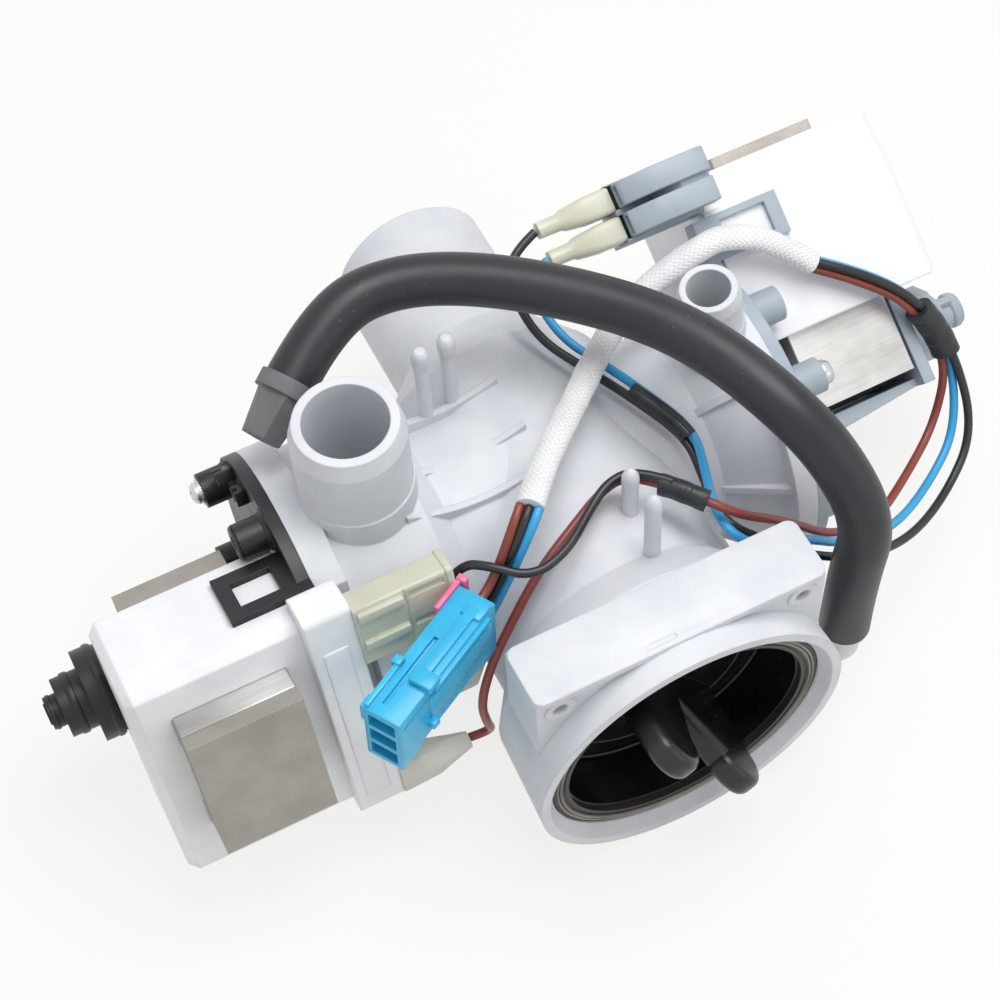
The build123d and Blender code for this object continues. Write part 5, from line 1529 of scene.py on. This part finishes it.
@dataclass
class HousingDetails:
    """Small forms on the moulded housing: the tops of its pegs, the bracket's top plate and hole rims.

    A turned form is given by its corners, each a radius and a height.
    """

    hook_places: Points = ((-27.0, 20.5), (-18.0, 21.5))
    hook_top: Points = (
        (0, 69.0), (1.4, 68.8), (2.3, 67.9), (2.75, 66.4), (2.75, 63.0), (2.45, 61.5), (0, 61.5))
    # The lead pegs: place across, depth from the mouth and height; their tips' corners are from that height
    peg_places: Points = ((10.0, 58.0, 57.0), (8.5, 42.0, 66.0))
    peg_tip: Points = (
        (0, 3.6), (0.7, 3.3), (1.6, 2.3), (2.3, 0.9), (2.62, -0.8), (2.62, -3.5), (2.45, -5.0), (0, -5.0))
    lid: Block = Block((0.0, 8.9), (92.0, 20.4), (5.8, 8.45), 3.2, 0.0, 6)
    lid_bevel: float = 0.45
    gate_mark: Block = Block((-6.0, 1.2), (9.0, 1.6), (8.2, 10.0), 0.5)
    hole_places: Point = (-38.5, 38.5)
    hole_rim: Points = ((2.3, -0.3), (4.6, -0.3), (4.9, 0.1), (4.6, 0.6), (2.7, 0.6), (2.3, 0.3))

    def build(self) -> None:
        """Make the pegs' rounded tops, the plate over the bracket with its gate's mark, and the holes' rims."""
        hooks = [turned("hook_top", self.hook_top, self.upright(x, PUMP_AXIS.y + back, PUMP_AXIS.z), PEG_FACES)
                 for x, back in self.hook_places]
        dress(gather("hook_peg_tops", hooks), HOUSING)
        tips = [turned("peg_tip", [(radius, top + height) for radius, height in self.peg_tip],
                       self.upright(x, MOUTH.y + depth, MOUTH.z), PEG_FACES)
                for x, depth, top in self.peg_places]
        dress(gather("lead_peg_tips", tips), HOUSING)
        flat = Matrix.Identity(4)
        plate = carve(self.lid.build("bracket_lid", flat), [self.gate_mark.build("gate_mark", flat)])
        dress(soften(plate, self.lid_bevel), HOUSING)
        rims = [turned("hole_rim", self.hole_rim, frame_at((x, 0, 0), (1, 0, 0), (0, -1, 0)), RIM_FACES)
                for x in self.hole_places]
        dress(gather("bracket_hole_rims", rims), HOUSING)

    def upright(self, x: float, y: float, z: float) -> Matrix:
        """Give the frame of a form that stands upright at a place."""
        return frame_at((x, y, z), (1, 0, 0), (0, 0, 1))


@dataclass
class CapDetails:
    """Rings in the filter cap's cup and the seal's folds.

    Depths are from the mouth. A bead's corners are shares: of its half width from
    its own radius, and of its height.
    """

    floor_depth: float = 24.05
    fold_depth: float = 4.25
    # Radius, half width and height of each bead
    floor_rings: Points = ((30.5, 0.5, 0.7), (37.2, 0.5, 1.2))
    floor_bead: Points = ((-1.0, 0.0), (-1.0, 0.6), (0.0, 1.0), (1.0, 0.6), (1.0, 0.0))
    folds: Points = ((41.6, 0.45, 0.7), (42.7, 0.45, 0.7))
    fold_bead: Points = (
        (-1.0, 0.0), (-0.35 / 0.45, 0.45 / 0.7), (0.0, 1.0), (0.35 / 0.45, 0.45 / 0.7), (1.0, 0.0))

    def build(self) -> None:
        """Make the ring lines on the cup's floor, and the folds of the seal that show in the mouth in a pale
        painted highlight.
        """
        rings = self.beads("floor_ring", self.floor_rings, self.floor_bead, self.floor_depth)
        dress(gather("cap_floor_rings", rings), CAP, "cap")
        # The folds' pale colour is a painted highlight on the black seal
        folds = self.beads("seal_fold", self.folds, self.fold_bead, self.fold_depth)
        dress(gather("seal_folds", folds), SEAL_HIGHLIGHT, "cap_ring")

    def beads(self, name: str, rings: Points, bead: Points, depth: float) -> list[Piece]:
        """Make round beads that stand out of a face towards the mouth.

        Args:
            name: Name of each bead.
            rings: Radius, half width and height of each, in millimetres.
            bead: Its section, as shares of that half width and height.
            depth: How deep in the mouth the face is.

        Returns:
            The beads.
        """
        return [turned(name, [(radius + wide * half, depth - high * proud) for wide, high in bead],
                       barrel_frame(0.0), CAP_FACES)
                for radius, half, proud in rings]


# ---------------------------------------------------------------- studio


@dataclass
class Studio:
    """Camera, floor and light.

    The camera's focal length and the middle of its view are in pixels of the picture.
    """

    place: Point = (-157.6, -249.6, 543.2)
    turn: float = 23.13
    height: float = 57.42
    roll: float = 4.26
    focal: float = 2208.8
    picture: float = 1000.0
    middle: Point = (502.0, 495.0)
    sensor: float = 36.0
    clip: Point = (0.05, 20.0)
    floor_level: float = -92.2
    floor_size: float = 6.0
    # Share of the floor that is plain white to the camera and in reflections; the rest takes the shadow
    floor_glow: float = 0.8
    aim: Point = (0, 80, -40)
    # Place and side of each soft lamp, in millimetres, and its power in watts
    key: Sequence[Any] = ((130, 70, 690), 460, 3.7)
    fill: Sequence[Any] = ((460, -520, 300), 500, 0.5)
    daylight: float = 0.58

    def build(self) -> None:
        """Make the camera, the floor, the lamps and the world."""
        self.camera()
        self.floor()
        self.lamp("key", *self.key)
        self.lamp("fill", *self.fill)
        self.world()
        bpy.context.scene.view_settings.view_transform = "Standard"

    def camera(self) -> None:
        """Place the camera as the photograph was taken."""
        turn, height, roll = radians(self.turn), radians(self.height), radians(self.roll)
        away = Vector((-sin(turn) * cos(height), -cos(turn) * cos(height), sin(height)))
        right = (-away).cross(Vector((0, 0, 1))).normalized()
        down = (-away).cross(right)
        x_axis = right * cos(roll) + down * sin(roll)
        y_axis = right * sin(roll) - down * cos(roll)
        data = bpy.data.cameras.new("camera")
        data.sensor_width = self.sensor
        data.lens = self.focal / self.picture * data.sensor_width
        data.shift_x = -(self.middle[0] - self.picture / 2) / self.picture
        data.shift_y = (self.middle[1] - self.picture / 2) / self.picture
        data.clip_start, data.clip_end = self.clip
        camera = put("camera", data)
        camera.matrix_world = Matrix((x_axis, y_axis, away)).transposed().to_4x4()
        camera.location = Vector(self.place) * MM
        bpy.context.scene.camera = camera

    def lamp(self, name: str, place: Point, size: float, power: float) -> None:
        """Add a square soft lamp that looks at the pump.

        Args:
            name: Name of the lamp.
            place: Its place, in millimetres.
            size: Its side.
            power: Its power, in watts.
        """
        data = bpy.data.lights.new(name, "AREA")
        data.size = size * MM
        data.energy = power
        item = put(name, data)
        item.location = Vector(place) * MM
        item.rotation_euler = (Vector(self.aim) * MM - item.location).to_track_quat("-Z", "Y").to_euler()

    def floor(self) -> None:
        """Lay a wide pale floor that stays near white for the camera and keeps the shadow."""
        bpy.ops.object.select_all(action="DESELECT")
        bpy.ops.mesh.primitive_plane_add(size=self.floor_size, location=(0, 0, self.floor_level * MM))
        floor = bpy.context.object
        floor.name = "floor"
        material = bpy.data.materials.new("paper_white")
        tree = bare_tree(material)
        output = add(tree, "ShaderNodeOutputMaterial")
        paper = add(tree, "ShaderNodeBsdfDiffuse", {"Color": linear("#f2f1ee")})
        glow = add(tree, "ShaderNodeEmission", {"Color": linear("#fefefc"), "Strength": 1.0})
        share = add(tree, "ShaderNodeMath", {"operation": "MULTIPLY", 1: self.floor_glow}, {0: self.seen(tree)})
        mixed = add(tree, "ShaderNodeMixShader", {},
                    {0: share.outputs[0], 1: paper.outputs[0], 2: glow.outputs[0]})
        tree.links.new(output.inputs["Surface"], mixed.outputs[0])
        floor.data.materials.append(material)

    def seen(self, tree: Tree) -> Socket:
        """Give 1 for rays of the camera, of reflections and through glass, and 0 for the light's own.

        Args:
            tree: Node tree.

        Returns:
            The socket of the switch.
        """
        path = add(tree, "ShaderNodeLightPath")
        switch = path.outputs["Is Camera Ray"]
        for ray in ("Is Glossy Ray", "Is Transmission Ray"):
            either = add(tree, "ShaderNodeMath", {"operation": "MAXIMUM"}, {0: switch, 1: path.outputs[ray]})
            switch = either.outputs[0]
        return switch

    def world(self) -> None:
        """Give an even light, and white where the camera, a reflection or glass sees past the floor."""
        world = bpy.data.worlds.new("studio")
        bpy.context.scene.world = world
        tree = bare_tree(world)
        output = add(tree, "ShaderNodeOutputWorld")
        light = add(tree, "ShaderNodeBackground", {"Color": linear("#ffffff"), "Strength": self.daylight})
        white = add(tree, "ShaderNodeBackground", {"Color": linear("#ffffff"), "Strength": 1.0})
        mixed = add(tree, "ShaderNodeMixShader", {},
                    {0: self.seen(tree), 1: light.outputs[0], 2: white.outputs[0]})
        tree.links.new(output.inputs["Surface"], mixed.outputs[0])


def main() -> None:
    """Build the looks of the pump, one sub-assembly after another."""
    logging.basicConfig(level=logging.INFO, format="%(message)s")
    Studio().build()
    PAINT.dress_frame()
    connector = Connector()
    connector.build()
    Harness().build(connector)
    DrainMotor().build()
    CirculationMotor().build()
    HousingDetails().build()
    CapDetails().build()


if __name__ == "__main__":
    main()
